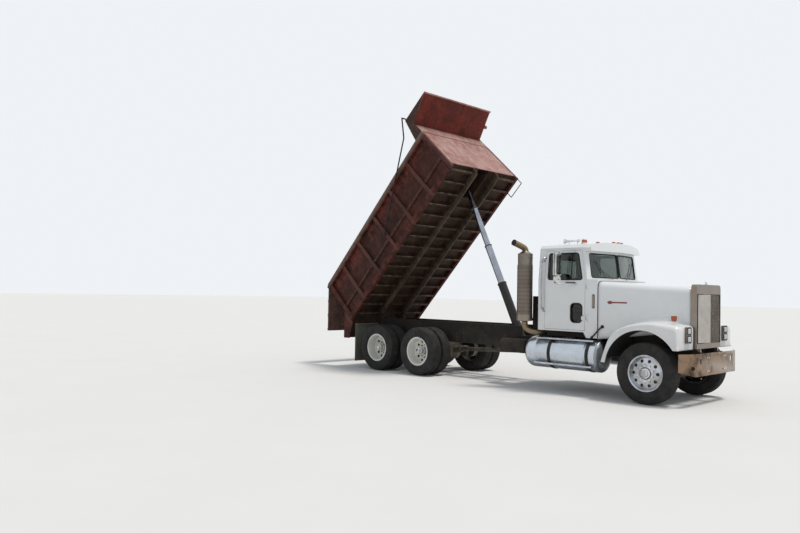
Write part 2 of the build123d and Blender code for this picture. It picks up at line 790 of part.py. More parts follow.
with BuildPart() as cab_shell:
    add(cab_blank.part)
    plate(truck_side, [(firewall_x - 45, cab_floor_z + 1), (firewall_x + 18, cowl_bottom_z),
                       (cowl_front_x, cowl_bottom_z), (cowl_front_x, cab_floor_z + 1)],
          -cab_half_width, cab_half_width)
    taper_cowl(cowl_bottom_z - 1, cab_floor_z + 2)
    add(cab_inside.part, mode=Mode.SUBTRACT)
    cowl_hollow = cowl_front_half_width - cab_wall
    block(firewall_x + cab_wall, 0, -cowl_hollow, cowl_hollow,
          cowl_bottom_z - 10, cowl_top_z - cab_wall, mode=Mode.SUBTRACT)
    plate(truck_side, door_outline, -cab_half_width - 20, cab_half_width + 20, mode=Mode.SUBTRACT)
    for side in (-1, 1):
        pane(side, 0, 80, 200, Mode.SUBTRACT)
    block(cab_rear_x - 20, cab_rear_x + cab_wall + 20, -rear_window_half, rear_window_half,
          *rear_window_z, mode=Mode.SUBTRACT)
    for side in (-1, 1):
        for place in door_hinge_places:
            for leaf_z in (place - door_hinge_height / 2 - 25, place + door_hinge_height / 2 + 3):
                block(door_hinge_x - 6, door_hinge_x + 60,
                      *across(side, cab_half_width - 10, door_hinge_y + 6), leaf_z, leaf_z + 22)
            with Locations((at_x(door_hinge_x), side * door_hinge_y, place)):
                Cylinder(door_hinge_pin_radius, door_hinge_height + 40)
        for rail_z, foot_y in zip(grab_rail_z, (cab_half_width - 10, eave_half_width + 10)):
            tube((at_x(grab_rail_x), side * grab_rail_y, rail_z),
                 (at_x(grab_rail_x), side * foot_y, rail_z), grab_rail_radius)
            with Locations((at_x(grab_rail_x), side * grab_rail_y, rail_z)):
                Sphere(grab_rail_radius)
        tube((at_x(grab_rail_x), side * grab_rail_y, grab_rail_z[0]),
             (at_x(grab_rail_x), side * grab_rail_y, grab_rail_z[1]), grab_rail_radius)
save(cab_shell.part, "cab_shell")

# Cab glass: two windshield panes and the rear window
with BuildPart() as cab_glass:
    for side in (-1, 1):
        pane(side, 0, -glass_inset, glass_wall, Mode.ADD)
    block(cab_rear_x + glass_inset, cab_rear_x + glass_inset + glass_wall, -rear_window_half,
          rear_window_half, *rear_window_z)
save(cab_glass.part, "cab_glass")

# Doors, cut from the cab's own walls, with handle and mirrors
for side, side_name in ((1, "left"), (-1, "right")):
    inner, outer = across(side, 700, cab_half_width + 30)
    with BuildPart() as door:
        add(cab_blank.part)
        add(cab_inside.part, mode=Mode.SUBTRACT)
        with BuildSketch(truck_side.offset(-outer)) as leaf:
            with BuildLine():
                Polyline(*door_outline, close=True)
            make_face()
            offset(amount=-door_gap, kind=Kind.INTERSECTION)
        extrude(leaf.sketch, amount=outer - inner, mode=Mode.INTERSECT)
        rounded_plate(truck_side, side_window, window_corner, inner, outer, mode=Mode.SUBTRACT)
        if side < 0:
            rounded_plate(truck_side, peep_window, peep_corner, inner, outer, mode=Mode.SUBTRACT)
        block(*handle_x, *across(side, cab_half_width - 5, cab_half_width + 22), *handle_z)
        for place in door_hinge_places:
            leaf_heights = (place - door_hinge_height / 2, place + door_hinge_height / 2)
            block(door_hinge_x - 75, door_front_x - door_gap,
                  *across(side, cab_half_width - 10, door_hinge_y), *leaf_heights)
            block(door_front_x - door_gap, door_hinge_x,
                  *across(side, cab_half_width + door_gap, door_hinge_y), *leaf_heights)
            with Locations((at_x(door_hinge_x), side * door_hinge_y, place)):
                Cylinder(door_hinge_radius, door_hinge_height)
                Cylinder(door_hinge_pin_radius + pin_clearance, door_hinge_height + 1, mode=Mode.SUBTRACT)
        block(mirror_x - mirror_depth, mirror_x + mirror_depth,
              *across(side, mirror_y - mirror_half_width, mirror_y + mirror_half_width), *mirror_z)
        tube((at_x(mirror_x - mirror_depth), side * mirror_y, round_mirror_z),
             (at_x(mirror_x + mirror_depth), side * mirror_y, round_mirror_z), round_mirror_radius)
        tube((at_x(mirror_x), side * mirror_y, mirror_arm_z[0]),
             (at_x(mirror_x), side * mirror_y, mirror_arm_z[1]), mirror_arm_radius)
        for arm_z, arm_x, door_y in zip(mirror_arm_z, mirror_arm_x, (cab_half_width - 20, eave_half_width)):
            tube((at_x(arm_x), side * door_y, arm_z), (at_x(mirror_x), side * mirror_y, arm_z),
                 mirror_arm_radius)
            with Locations((at_x(mirror_x), side * mirror_y, arm_z)):
                Sphere(mirror_arm_radius)
    save(door.part, f"door_{side_name}")
    with BuildPart() as door_glass:
        glass_outer_y = cab_half_width - cab_wall / 2
        with BuildSketch(Plane.YZ.offset(at_x(door_rear_x))) as strip:
            with BuildLine():
                Polyline((glass_outer_y, belt_z), (glass_outer_y - cab_half_width + eave_half_width, eave_z),
                         (glass_outer_y - cab_half_width + eave_half_width - glass_wall, eave_z),
                         (glass_outer_y - glass_wall, belt_z), close=True)
            make_face()
        extrude(strip.sketch, amount=door_front_x - door_rear_x)
        rounded_plate(truck_side, side_window, window_corner, 700, cab_half_width, mode=Mode.INTERSECT)
        if side < 0:
            rounded_plate(truck_side, peep_window, peep_corner, glass_outer_y - glass_wall, glass_outer_y)
            mirror(about=Plane.XZ, mode=Mode.REPLACE)
    save(door_glass.part, f"door_glass_{side_name}")

# Cab interior: two seats, dashboard and steering wheel
cab_inner_floor_z = cab_floor_z + cab_floor_wall
steering_hub = (at_x(steering_hub_x), seat_y, steering_hub_z)
steering_axis = (-cos(radians(steering_lean)), 0, sin(radians(steering_lean)))
with BuildPart() as cab_interior:
    for side in (-1, 1):
        block(-2120, -1680, side * seat_y - 90, side * seat_y + 90, cab_inner_floor_z, 1500)
        block(-2150, -1640, side * seat_y - seat_half_width, side * seat_y + seat_half_width, 1480, 1620)
        plate(truck_side, [(-2150, 1600), (-2035, 1600), (-2090, 2330), (-2190, 2330)],
              side * seat_y - seat_half_width + 10, side * seat_y + seat_half_width - 10)
    plate(truck_side, [(firewall_x, 1740), (-1420, 1740), (-1510, dash_top_z - 130), (-1455, dash_top_z - 20),
                       (firewall_x, dash_top_z)],
          -(cab_half_width - cab_wall - 12), cab_half_width - cab_wall - 12)
    tube((at_x(-1440), seat_y, 1830), steering_hub, 26)
    with Locations(Plane(origin=steering_hub, z_dir=steering_axis)):
        Box(2 * steering_rim_radius - 10, 34, 12)
    turned(steering_hub, steering_axis,
           [(along, steering_rim_radius + out) for along, out in
            ((-8, -14), (8, -14), (15, 0), (8, 14), (-8, 14), (-15, 0))])
save(cab_interior.part, "cab_interior")

# Roof lamps: five markers along the roof's front, a beacon and a horn
horn_length = horn_x[1] - horn_x[0]
with BuildPart() as roof_lamps:
    for y in marker_places:
        marker_x = glass_x(y, roof_z) + visor_reach - 75
        marker_z = roof_z - 0.155 * max(0, abs(y) - 470) + marker_size[2] / 2
        with Locations((at_x(marker_x), y, marker_z)):
            Box(*marker_size)
    with Locations((at_x(beacon_x), beacon_y, roof_z + beacon_height / 2 - 20)):
        Cylinder(beacon_radius, beacon_height)
    turned((at_x(horn_x[0]), beacon_y, horn_z), (1, 0, 0),
           [(0, 0), (0, horn_bell_radius), (60, horn_radius), (horn_length, horn_radius), (horn_length, 0)])
    for place in (horn_x[0] + 110, horn_x[1] - 50):
        block(place - 12, place + 12, beacon_y - 12, beacon_y + 12, roof_z - 20, horn_z)
    add(cab_shell.part, mode=Mode.SUBTRACT)
save(roof_lamps.part, "roof_lamps")

# Fuel tanks, hung on brackets outside the rails, with steps on their outer sides
tank_length = tank_front_x - tank_rear_x
with BuildPart() as fuel_tanks:
    for side in (-1, 1):
        turned((at_x(tank_rear_x), side * tank_y, tank_z), (1, 0, 0),
               [(0, 0), (0, tank_radius - 90), (25, tank_radius - 30), (55, tank_radius),
                (tank_length - 55, tank_radius), (tank_length - 25, tank_radius - 30),
                (tank_length, tank_radius - 90), (tank_length, 0)])
        for place in tank_strap_places:
            block(place - 40, place + 40, *across(side, rail_y, rail_y + 200), 790, 960)
            tube((at_x(place - tank_strap_width / 2), side * tank_y, tank_z),
                 (at_x(place + tank_strap_width / 2), side * tank_y, tank_z), tank_radius + tank_strap_wall)
        for step_sides, step_z in ((upper_step_y, upper_step_z), (lower_step_y, lower_step_z)):
            block(*step_x, *across(side, *step_sides), step_z, step_z + step_wall)
save(fuel_tanks.part, "fuel_tanks")

# Exhaust stack: muffler upright behind the cab, curved tip above and pipe inboard below
with BuildPart() as exhaust_stack:
    turned((at_x(stack_x), stack_y, muffler_bottom_z), (0, 0, 1),
           [(0, 0), (0, lower_pipe_radius + 15), (45, muffler_radius),
            (muffler_top_z - muffler_bottom_z - 60, muffler_radius),
            (muffler_top_z - muffler_bottom_z, pipe_radius + 15), (muffler_top_z - muffler_bottom_z, 0)])
    with BuildLine(mode=Mode.PRIVATE) as tip_path:
        tip_start = (at_x(stack_x), stack_y, muffler_top_z - 10)
        tip_bend = (at_x(stack_x), stack_y, muffler_top_z + 130)
        FilletPolyline(tip_start, tip_bend, (at_x(stack_x - 80), stack_y - 310, muffler_top_z + 165),
                       radius=95)
    with BuildSketch(Plane(origin=tip_start, z_dir=(0, 0, 1))) as tip_section:
        Circle(pipe_radius)
    sweep(tip_section.sketch, path=tip_path.line)
    tube((at_x(stack_x), stack_y, lower_pipe_z),
         (at_x(stack_x), stack_y, muffler_bottom_z + 5), lower_pipe_radius)
    with Locations((at_x(stack_x), stack_y, lower_pipe_z), (at_x(stack_x), inboard_y, lower_pipe_z)):
        Sphere(lower_pipe_radius)
    tube((at_x(stack_x), stack_y, lower_pipe_z), (at_x(stack_x), inboard_y, lower_pipe_z), lower_pipe_radius)
    tube((at_x(stack_x), inboard_y, lower_pipe_z), (at_x(-1000), inboard_y, 1000), lower_pipe_radius)
    block(stack_x - 55, stack_x + 55, -rail_y, -(rail_y - rail_flange), rail_top_z, 1420)
    block(stack_x - 55, stack_x + 55, stack_y, -(rail_y - rail_flange), 1380, 1420)
    add(driveline.part, mode=Mode.SUBTRACT)
save(exhaust_stack.part, "exhaust_stack")

# Front bumper: one folded plate with swept-back ends
with BuildPart() as front_bumper:
    with BuildSketch(Plane.XY.offset(bumper_bottom_z)) as plan:
        with BuildLine():
            Polyline((at_x(bumper_end_x), -bumper_end_y), (at_x(bumper_front_x), -bumper_crease_y),
                     (at_x(bumper_front_x), bumper_crease_y), (at_x(bumper_end_x), bumper_end_y),
                     (at_x(bumper_end_x) - bumper_wall, bumper_end_y - 4),
                     (at_x(bumper_front_x) - bumper_wall, bumper_crease_y - 4),
                     (at_x(bumper_front_x) - bumper_wall, -bumper_crease_y + 4),
                     (at_x(bumper_end_x) - bumper_wall, -bumper_end_y + 4), close=True)
        make_face()
    extrude(plan.sketch, amount=bumper_top_z - bumper_bottom_z)
    for side in (-1, 1):
        with BuildSketch(Plane.YZ.offset(at_x(0))) as taper:
            with BuildLine():
                Polyline((side * bumper_crease_y, bumper_bottom_z - 1),
                         (side * (bumper_end_y + 1), bumper_bottom_z - 1),
                         (side * (bumper_end_y + 1), bumper_end_bottom_z),
                         (side * bumper_crease_y, bumper_bottom_z), close=True)
            make_face()
        extrude(taper.sketch, amount=bumper_front_x + 10, mode=Mode.SUBTRACT)
        hole_y, hole_z = bumper_hole
        tube((at_x(0), side * hole_y, hole_z), (at_x(bumper_front_x), side * hole_y, hole_z),
             bumper_hole_radius, mode=Mode.SUBTRACT)
        slot_y, slot_z = bumper_slot
        slot_half, slot_rise = bumper_slot_size[0] / 2, bumper_slot_size[1] / 2
        block(bumper_front_x - 20, bumper_front_x + 10, side * slot_y - slot_half, side * slot_y + slot_half,
              slot_z - slot_rise, slot_z + slot_rise, mode=Mode.SUBTRACT)
save(front_bumper.part, "front_bumper")

# Mud flaps behind the rear wheels, on bars from the hinge brackets
flap_bar_x = flap_x + flap_wall
with BuildPart() as mud_flaps:
    for side in (-1, 1):
        block(flap_x, flap_bar_x, *across(side, *flap_y), *flap_z)
        block(flap_bar_x, flap_bar_x + flap_bar, *across(side, rail_y + ear_wall, flap_y[1] - 10),
              flap_z[1] - flap_bar, flap_z[1])
save(mud_flaps.part, "mud_flaps")


def hood_section(x, inset, drop):
    """The hood's section at a place along it, rounded at the top, shrunk by an inset."""
    share = (x - hood_rear_x) / (hood_front_x - hood_rear_x)
    half = hood_rear_half_width + share * (hood_front_half_width - hood_rear_half_width) - inset
    top = hood_rear_top_z + share * (hood_front_top_z - hood_rear_top_z) - inset
    low = hood_bottom_z + share * (hood_front_bottom_z - hood_bottom_z) - drop
    with BuildSketch(Plane.YZ.offset(at_x(x))) as section:
        with Locations((0, (low + top) / 2)):
            Rectangle(2 * half, top - low)
        fillet(section.vertices().group_by(Axis.Y)[-1], radius=hood_corner - inset)
    return section.sketch.face()


def fender_outline(drop):
    """The fender's side outline without its arch, its lower edge let down by a drop."""
    return [(-870 - 0.385 * drop, 690 - drop), (-660, 1235), (-385, 1345), (-160, fender_crown_z),
            (300, fender_crown_z - 8), (520, 1425), (fender_front_x, 1380), (fender_front_x, 690 - drop)]


# Hood and fenders, one open shell that tilts forward
with BuildPart() as hood_shell:
    for side in (-1, 1):
        plate(truck_side, fender_outline(0), *across(side, fender_inner_y, fender_y))
    fillet(hood_shell.edges().filter_by(lambda e: abs(abs(e.center().Y) - fender_y) < 1
                                        and e.center().Z > 1240), radius=fender_edge)
    for side in (-1, 1):
        with BuildSketch(truck_side.offset(-max(side * 400, side * (fender_y - hood_skin)))) as hollow:
            with BuildLine():
                Polyline(*fender_outline(80), close=True)
            make_face()
            offset(amount=-hood_skin, kind=Kind.INTERSECTION)
        extrude(hollow.sketch, amount=fender_y - hood_skin - 400, mode=Mode.SUBTRACT)
        disc(truck_side, arch_x, arch_z, arch_radius, *across(side, 400, fender_y + 1), mode=Mode.SUBTRACT)
        block(arch_x, fender_front_x + 1, *across(side, 400, fender_y + 1), 600, fender_front_bottom_z,
              mode=Mode.SUBTRACT)
    loft([hood_section(hood_rear_x, 0, 0), hood_section(hood_front_x, 0, 0)], ruled=True)
    loft([hood_section(hood_rear_x - 5, hood_skin, 60), hood_section(hood_front_x + 5, hood_skin, 60)],
         ruled=True, mode=Mode.SUBTRACT)
    block(hood_front_x, fender_front_x + 1, -surround_half_width, surround_half_width,
          fender_front_bottom_z, hood_rear_top_z, mode=Mode.SUBTRACT)
save(hood_shell.part, "hood_shell")

# Grille surround with its hinge arms
hood_arm_outer_y = rail_y - horn_wall - running_clearance * 2
hood_arm_inner_y = hood_arm_outer_y - hood_arm_wall
with BuildPart() as grille_surround:
    with BuildSketch(Plane.YZ.offset(at_x(hood_front_x))) as rim:
        with Locations((0, (surround_bottom_z + surround_top_z) / 2)):
            Rectangle(2 * surround_half_width, surround_top_z - surround_bottom_z)
        fillet(rim.vertices().group_by(Axis.Y)[-1], radius=surround_corner)
        with Locations((0, (grille_bottom_z + grille_top_z) / 2)):
            RectangleRounded(2 * grille_half_width, grille_top_z - grille_bottom_z, 30, mode=Mode.SUBTRACT)
    extrude(rim.sketch, amount=surround_front_x - hood_front_x)
    for side in (-1, 1):
        arm_sides = across(side, hood_arm_inner_y, hood_arm_outer_y)
        plate(truck_side, [(surround_front_x - 65, surround_bottom_z + 10),
                           (surround_front_x, surround_bottom_z + 10),
                           (hood_hinge_x - 55, hood_hinge_z + 38), (hood_hinge_x + 4, hood_hinge_z + 29),
                           (hood_hinge_x - 14, hood_hinge_z - 26), (hood_hinge_x - 112, hood_hinge_z + 22)],
              *arm_sides)
        disc(truck_side, hood_hinge_x, hood_hinge_z, hood_eye_radius, *arm_sides)
        disc(truck_side, hood_hinge_x, hood_hinge_z, hood_pin_radius + pin_clearance, *arm_sides,
             mode=Mode.SUBTRACT)
save(grille_surround.part, "grille_surround")

# Grille insert: upright bars whose fronts meet at a ridge, on level ties
insert_back_x = hood_front_x + 30
insert_edge_x = surround_front_x - 15
grille_pitch = 2 * grille_half_width / grille_bar_count
with BuildPart() as grille_insert:
    for bar in range(grille_bar_count):
        y = (bar + 0.5) * grille_pitch - grille_half_width
        front = insert_edge_x + grille_ridge * (1 - abs(y) / grille_half_width)
        block(insert_back_x, front, y - grille_bar_width / 2, y + grille_bar_width / 2,
              grille_bottom_z, grille_top_z)
    for z in (grille_bottom_z, (grille_bottom_z + grille_top_z - grille_tie) / 2, grille_top_z - grille_tie):
        block(insert_back_x, insert_back_x + 14, -grille_half_width, grille_half_width, z, z + grille_tie)
    add(grille_surround.part, mode=Mode.SUBTRACT)
save(grille_insert.part, "grille_insert")

# Headlamps, a stacked pair in one housing on each fender's front
with BuildPart() as headlamps:
    for side in (-1, 1):
        block(fender_front_x, fender_front_x + lamp_depth, side * lamp_y - lamp_half_width,
              side * lamp_y + lamp_half_width, *lamp_z)
        for centre in (lamp_z[0] + 72, lamp_z[1] - 72):
            block(fender_front_x + lamp_depth - lamp_lens_depth, fender_front_x + lamp_depth,
                  side * lamp_y - lamp_lens_half_width, side * lamp_y + lamp_lens_half_width,
                  centre - lamp_lens_half_height, centre + lamp_lens_half_height, mode=Mode.SUBTRACT)
save(headlamps.part, "headlamps")

# Bed floor with cross-bearers, sills, hinge ears, tail apron and hoist housing
sill_inner_y = sill_y - sill_width / 2
sill_outer_y = sill_y + sill_width / 2
hinge_pin_end_y = rail_y + ear_wall + 16
with BuildPart() as bed_floor:
    slab(bed_side, bed_tail, bed_front - front_wall, bed_floor_bottom, bed_floor_bottom + bed_floor_wall,
         -bed_inner_y, bed_inner_y)
    slab(bed_side, housing_back, bed_front, bed_floor_bottom - 1, bed_floor_bottom + bed_floor_wall + 1,
         -housing_half_width, housing_half_width, mode=Mode.SUBTRACT)
    for bearer in range(cross_bearer_count):
        start = cross_bearer_first + cross_bearer_pitch * bearer
        end = start + cross_bearer_width
        if end < housing_back - 20:
            slab(bed_side, start, end, bed_under, bed_floor_bottom, -bed_inner_y, bed_inner_y)
        else:
            for side in (-1, 1):
                slab(bed_side, start, end, bed_under, bed_floor_bottom,
                     *across(side, sill_inner_y, bed_inner_y))
    for side in (-1, 1):
        sill_sides = across(side, sill_inner_y, sill_outer_y)
        plate(bed_side, [(-100, sill_bottom + 40), (-62, 0), (62, 0), (150, sill_bottom),
                         (bed_front - 60, sill_bottom), (bed_front - front_wall, sill_bottom + 70),
                         (bed_front - front_wall, bed_floor_bottom), (-100, bed_floor_bottom)], *sill_sides)
        disc(bed_side, 0, 0, hinge_ear_radius, *sill_sides)
        disc(bed_side, 0, 0, hinge_pin_radius, *across(side, sill_inner_y, hinge_pin_end_y))
    plate(bed_side, [(bed_tail, bed_floor_bottom), (bed_tail - apron_reach, bed_floor_bottom - apron_drop),
                     (bed_tail - apron_reach - 6, bed_floor_bottom - apron_drop + 10),
                     (bed_tail, bed_floor_bottom + bed_floor_wall)], -bed_inner_y, bed_inner_y)
    housing_outer = housing_half_width + housing_wall
    slab(bed_side, housing_back - housing_wall, bed_front - front_wall, bed_floor_bottom,
         housing_top + housing_wall, -housing_outer, housing_outer)
    slab(bed_side, housing_back, bed_front, bed_floor_bottom - 1, housing_top,
         -housing_half_width, housing_half_width, mode=Mode.SUBTRACT)
    for side in (-1, 1):
        slab(bed_side, hoist_pin_forward - 60, hoist_pin_forward + 60, hoist_pin_up - 60, housing_top,
             *across(side, rod_eye_width / 2 + 17, rod_eye_width / 2 + 37))
save(bed_floor.part, "bed_floor")

# Bed sides: sheet, rails, ribs, posts, tail ear and the bracket for the tailgate's pin
ear_outline = [(bed_tail, 164), (-323, 56), (-525, -35), (-661, 111), (-381, 369), (bed_tail, 600)]
gate_bracket_y = gate_half_width + 15
sheet_outer_y = bed_inner_y + side_sheet
for side, side_name in ((1, "left"), (-1, "right")):
    with BuildPart() as bed_side_wall:
        slab(bed_side, bed_tail, bed_front, bed_under, rail_top - top_rail_height + 20,
             *across(side, bed_inner_y, sheet_outer_y))
        slab(bed_side, bed_tail, bed_front, bed_under, bed_under + lower_rail_height,
             *across(side, bed_inner_y, side_outer_y))
        slab(bed_side, bed_tail, bed_front, mid_rib_bottom, mid_rib_bottom + mid_rib_height,
             *across(side, bed_inner_y, sheet_outer_y + mid_rib_depth))
        slab(bed_side, bed_tail, bed_front, rail_top - top_rail_height, rail_top,
             *across(side, bed_inner_y - top_rail_inset, side_outer_y))
        for post in range(post_count):
            place = post_first + post_pitch * post
            slab(bed_side, place - post_width / 2, place + post_width / 2, bed_under,
                 rail_top - top_rail_height + 1, *across(side, bed_inner_y, sheet_outer_y + post_depth))
        for start in (bed_tail, bed_front - corner_post_width):
            slab(bed_side, start, start + corner_post_width, bed_under, rail_top,
                 *across(side, bed_inner_y, side_outer_y))
        plate(bed_side, ear_outline, *across(side, ear_y, ear_y + ear_wall))
        plate(bed_side, [(bed_tail + 20, gate_pin_up - 90), (-gate_pin_back - 30, gate_pin_up - 30),
                         (-gate_pin_back - 36, gate_pin_up + 30), (-gate_pin_back, rail_top),
                         (bed_tail + 20, rail_top)],
              *across(side, gate_bracket_y, gate_bracket_y + ear_wall))
        disc(bed_side, -gate_pin_back, gate_pin_up, gate_pin_radius + pin_clearance,
             *across(side, gate_half_width, side_outer_y), mode=Mode.SUBTRACT)
        disc(bed_side, arm_pivot_forward, arm_pivot_up, arm_pin_radius,
             *across(side, sheet_outer_y + 2, arm_y + arm_radius))
        if side > 0:
            for start, end in (((bed_front - 12, bed_under + 10), (bed_front - 12, 30)),
                               ((bed_front - 12, 30), (4300, 30)), ((4300, 30), (4300, bed_under + 10))):
                tube(on_bed(*start, 1205), on_bed(*end, 1205), 10)
            for corner in ((bed_front - 12, 30), (4300, 30)):
                with Locations(on_bed(*corner, 1205)):
                    Sphere(10)
    save(bed_side_wall.part, f"bed_side_{side_name}")

# Bed front: wall, cab shield with its cheeks, edge pipe and tarp crank knob
shield_tip = (bed_front + shield_reach, fold_height + shield_rise)
with BuildPart() as bed_front_wall:
    slab(bed_side, bed_front - front_wall, bed_front, bed_floor_bottom, rail_top,
         -bed_inner_y + top_rail_inset, bed_inner_y - top_rail_inset)
    slab(bed_side, bed_front - front_wall, bed_front, bed_floor_bottom, rail_top - top_rail_height,
         -bed_inner_y, bed_inner_y)
    slab(bed_side, bed_front - front_wall, bed_front, rail_top, fold_height, -cheek_y, cheek_y)
    plate(bed_side, [(bed_front - front_wall, fold_height), (bed_front, fold_height - shield_wall),
                     shield_tip, (shield_tip[0] - 3, shield_tip[1] + shield_wall),
                     (bed_front - front_wall, fold_height + 4)],
          -cheek_y, cheek_y)
    for side in (-1, 1):
        plate(bed_side, [(shield_tip[0] - 5, shield_tip[1] + 14), (cheek_back, cheek_top),
                         (cheek_foot, rail_top), (bed_front, rail_top),
                         (bed_front, fold_height - shield_wall)],
              *across(side, cheek_y, cheek_y + cheek_wall))
    disc(bed_side, shield_tip[0], shield_tip[1], 20, -cheek_y - cheek_wall, cheek_y + cheek_wall)
    disc(bed_side, 5080, 1965, 45, cheek_y + cheek_wall - 1, cheek_y + cheek_wall + 45)
save(bed_front_wall.part, "bed_front")

# Tailgate, hanging from its upper pins: places are from the pin along the closed gate
gate_pin = hinge_point - bed_forward * gate_pin_back + bed_up * gate_pin_up
gate_angle = radians(tip_angle - gate_hang)
gate_side = Plane(origin=gate_pin, x_dir=(cos(gate_angle), 0, sin(gate_angle)), z_dir=(0, -1, 0))
gate_low = gate_bottom - gate_pin_up
gate_high = gate_top - gate_pin_up
with BuildPart() as tailgate:
    slab(gate_side, gate_inner - gate_sheet, gate_inner, gate_low, gate_high,
         -gate_half_width, gate_half_width)
    rib_pitch = (gate_high - gate_low - gate_rib) / (gate_rib_count - 1)
    for rib in range(gate_rib_count):
        slab(gate_side, gate_inner - gate_depth, gate_inner, gate_low + rib * rib_pitch,
             gate_low + rib * rib_pitch + gate_rib, -gate_half_width, gate_half_width)
    post_step = (2 * gate_half_width - gate_rib) / (gate_post_count - 1)
    for post in range(gate_post_count):
        slab(gate_side, gate_inner - gate_depth + 12, gate_inner, gate_low, gate_high,
             post * post_step - gate_half_width, post * post_step - gate_half_width + gate_rib)
    for side in (-1, 1):
        disc(gate_side, 0, 0, gate_pin_radius,
             *across(side, gate_half_width - 10, gate_bracket_y + ear_wall + 8))
save(tailgate.part, "tailgate")

# Tarp arms: a bent arm each side with a cross-bar between their tips
with BuildPart() as tarp_arms:
    for side in (-1, 1):
        pivot = on_bed(arm_pivot_forward, arm_pivot_up, side * arm_y)
        bend = on_bed(arm_bend_forward, arm_bend_up, side * arm_y)
        arm_end = on_bed(arm_tip_forward, arm_tip_up, side * arm_y)
        tube(pivot, bend, arm_radius)
        tube(bend, arm_end, arm_radius)
        with Locations(bend, arm_end):
            Sphere(arm_radius)
        disc(bed_side, arm_pivot_forward, arm_pivot_up, arm_eye_radius, *across(side, arm_y - 13, arm_y + 13))
        disc(bed_side, arm_pivot_forward, arm_pivot_up, arm_pin_radius + pin_clearance,
             *across(side, arm_y - arm_radius - 1, arm_y + arm_radius + 1), mode=Mode.SUBTRACT)
    disc(bed_side, arm_tip_forward, arm_tip_up, arm_radius, -arm_y, arm_y)
save(tarp_arms.part, "tarp_arms")

# Telescopic hoist: barrel on trunnions and four nested stages, drawn out to the raised bed
hoist_base = Vector(at_x(hoist_base_x), 0, hoist_base_z)
hoist_top = Vector(*on_bed(hoist_pin_forward, hoist_pin_up))
hoist_run = (hoist_top - hoist_base).length
hoist_axis = (hoist_top - hoist_base).normalized()
lowered_top = Vector(at_x(hinge_x) + hoist_pin_forward, 0, hinge_z + hoist_pin_up)
last_stroke = hoist_run - (lowered_top - hoist_base).length - sum(stage_strokes)
strokes = (*stage_strokes, last_stroke)
bore_start = trunnion_radius + 25
with BuildPart() as hoist_barrel:
    turned(hoist_base, hoist_axis, [(-barrel_foot, 0), (-barrel_foot, barrel_radius),
                                    (barrel_length, barrel_radius),
                                    (barrel_length, stage_radii[0] + stage_clearance),
                                    (bore_start, stage_radii[0] + stage_clearance), (bore_start, 0)])
    disc(truck_side, hoist_base_x, hoist_base_z, trunnion_radius, -rail_web + 60, -barrel_radius + 30)
    disc(truck_side, hoist_base_x, hoist_base_z, trunnion_radius, barrel_radius - 30, rail_web - 60)
save(hoist_barrel.part, "hoist_barrel")
drawn_out = 0
for stage, radius in enumerate(stage_radii):
    drawn_out += strokes[stage]
    bottom = bore_start + running_clearance + drawn_out
    stage_top = barrel_length + stage_head * (stage + 1) + drawn_out
    with BuildPart() as hoist_stage:
        if stage < len(stage_radii) - 1:
            bore = stage_radii[stage + 1] + stage_clearance
            collar_foot = stage_top - stage_head + stage_gap
            turned(hoist_base, hoist_axis, [(bottom, bore), (bottom, radius), (collar_foot, radius),
                                            (collar_foot, radius + stage_collar),
                                            (stage_top, radius + stage_collar), (stage_top, bore)])
        else:
            turned(hoist_base, hoist_axis,
                   [(bottom, 0), (bottom, radius), (hoist_run, radius), (hoist_run, 0)])
            disc(bed_side, hoist_pin_forward, hoist_pin_up, rod_eye_radius,
                 -rod_eye_width / 2, rod_eye_width / 2)
            disc(bed_side, hoist_pin_forward, hoist_pin_up, trunnion_radius - 8, -rod_eye_width / 2 - 1,
                 rod_eye_width / 2 + 1, mode=Mode.SUBTRACT)
    save(hoist_stage.part, f"hoist_stage_{stage + 1}")
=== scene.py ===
import json
import logging
import math
from dataclasses import dataclass, field, replace
from enum import Enum
from typing import Sequence

import bmesh
import bpy
import numpy as np
from mathutils import Matrix, Vector
from numpy.typing import NDArray


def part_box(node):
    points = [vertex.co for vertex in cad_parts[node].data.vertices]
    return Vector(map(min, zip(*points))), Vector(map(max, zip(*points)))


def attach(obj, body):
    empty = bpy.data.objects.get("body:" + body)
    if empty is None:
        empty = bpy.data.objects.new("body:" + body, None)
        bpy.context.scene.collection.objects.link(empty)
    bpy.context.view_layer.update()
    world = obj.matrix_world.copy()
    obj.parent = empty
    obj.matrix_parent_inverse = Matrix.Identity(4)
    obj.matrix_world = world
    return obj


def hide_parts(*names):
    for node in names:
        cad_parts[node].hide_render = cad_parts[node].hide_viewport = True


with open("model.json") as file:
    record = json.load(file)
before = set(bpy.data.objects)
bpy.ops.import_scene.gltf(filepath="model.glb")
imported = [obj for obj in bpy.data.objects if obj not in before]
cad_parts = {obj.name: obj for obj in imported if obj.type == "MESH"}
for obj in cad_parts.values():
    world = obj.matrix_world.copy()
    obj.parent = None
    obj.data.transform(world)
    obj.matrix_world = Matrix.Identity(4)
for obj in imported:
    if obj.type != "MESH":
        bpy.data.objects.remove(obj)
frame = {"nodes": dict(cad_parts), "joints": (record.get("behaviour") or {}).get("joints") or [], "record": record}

# Dress of a three-axle dump truck with a raised bed. Metres; X forward, Y to the truck's left, Z up.

log = logging.getLogger("dump_truck")
Array = NDArray[np.float64]
Colour = tuple[float, float, float]
Profile = Sequence[tuple[float, float]]
Socket = bpy.types.NodeSocket
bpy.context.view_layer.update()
BEVEL_ANGLE = 38
# Near-black for brake dust together with painted shade on the inner parts of wheels.
BRAKE_DUST_AND_SHADE: Colour = (0.018, 0.016, 0.014)
# Near-black painted shade for the hood's faces that look down or inwards.
PAINTED_UNDER_SHADE: Colour = (0.02, 0.018, 0.016)


class Side(Enum):
    """The truck's two sides, by the sign of Y."""

    LEFT = 1
    RIGHT = -1

    @property
    def word(self) -> str:
        """The side's name as the bodies and nodes spell it."""
        return self.name.lower()


class Shape(Enum):
    """How a finished mesh is smoothed."""

    CREASED = 30.0
    ROUND = 60.0


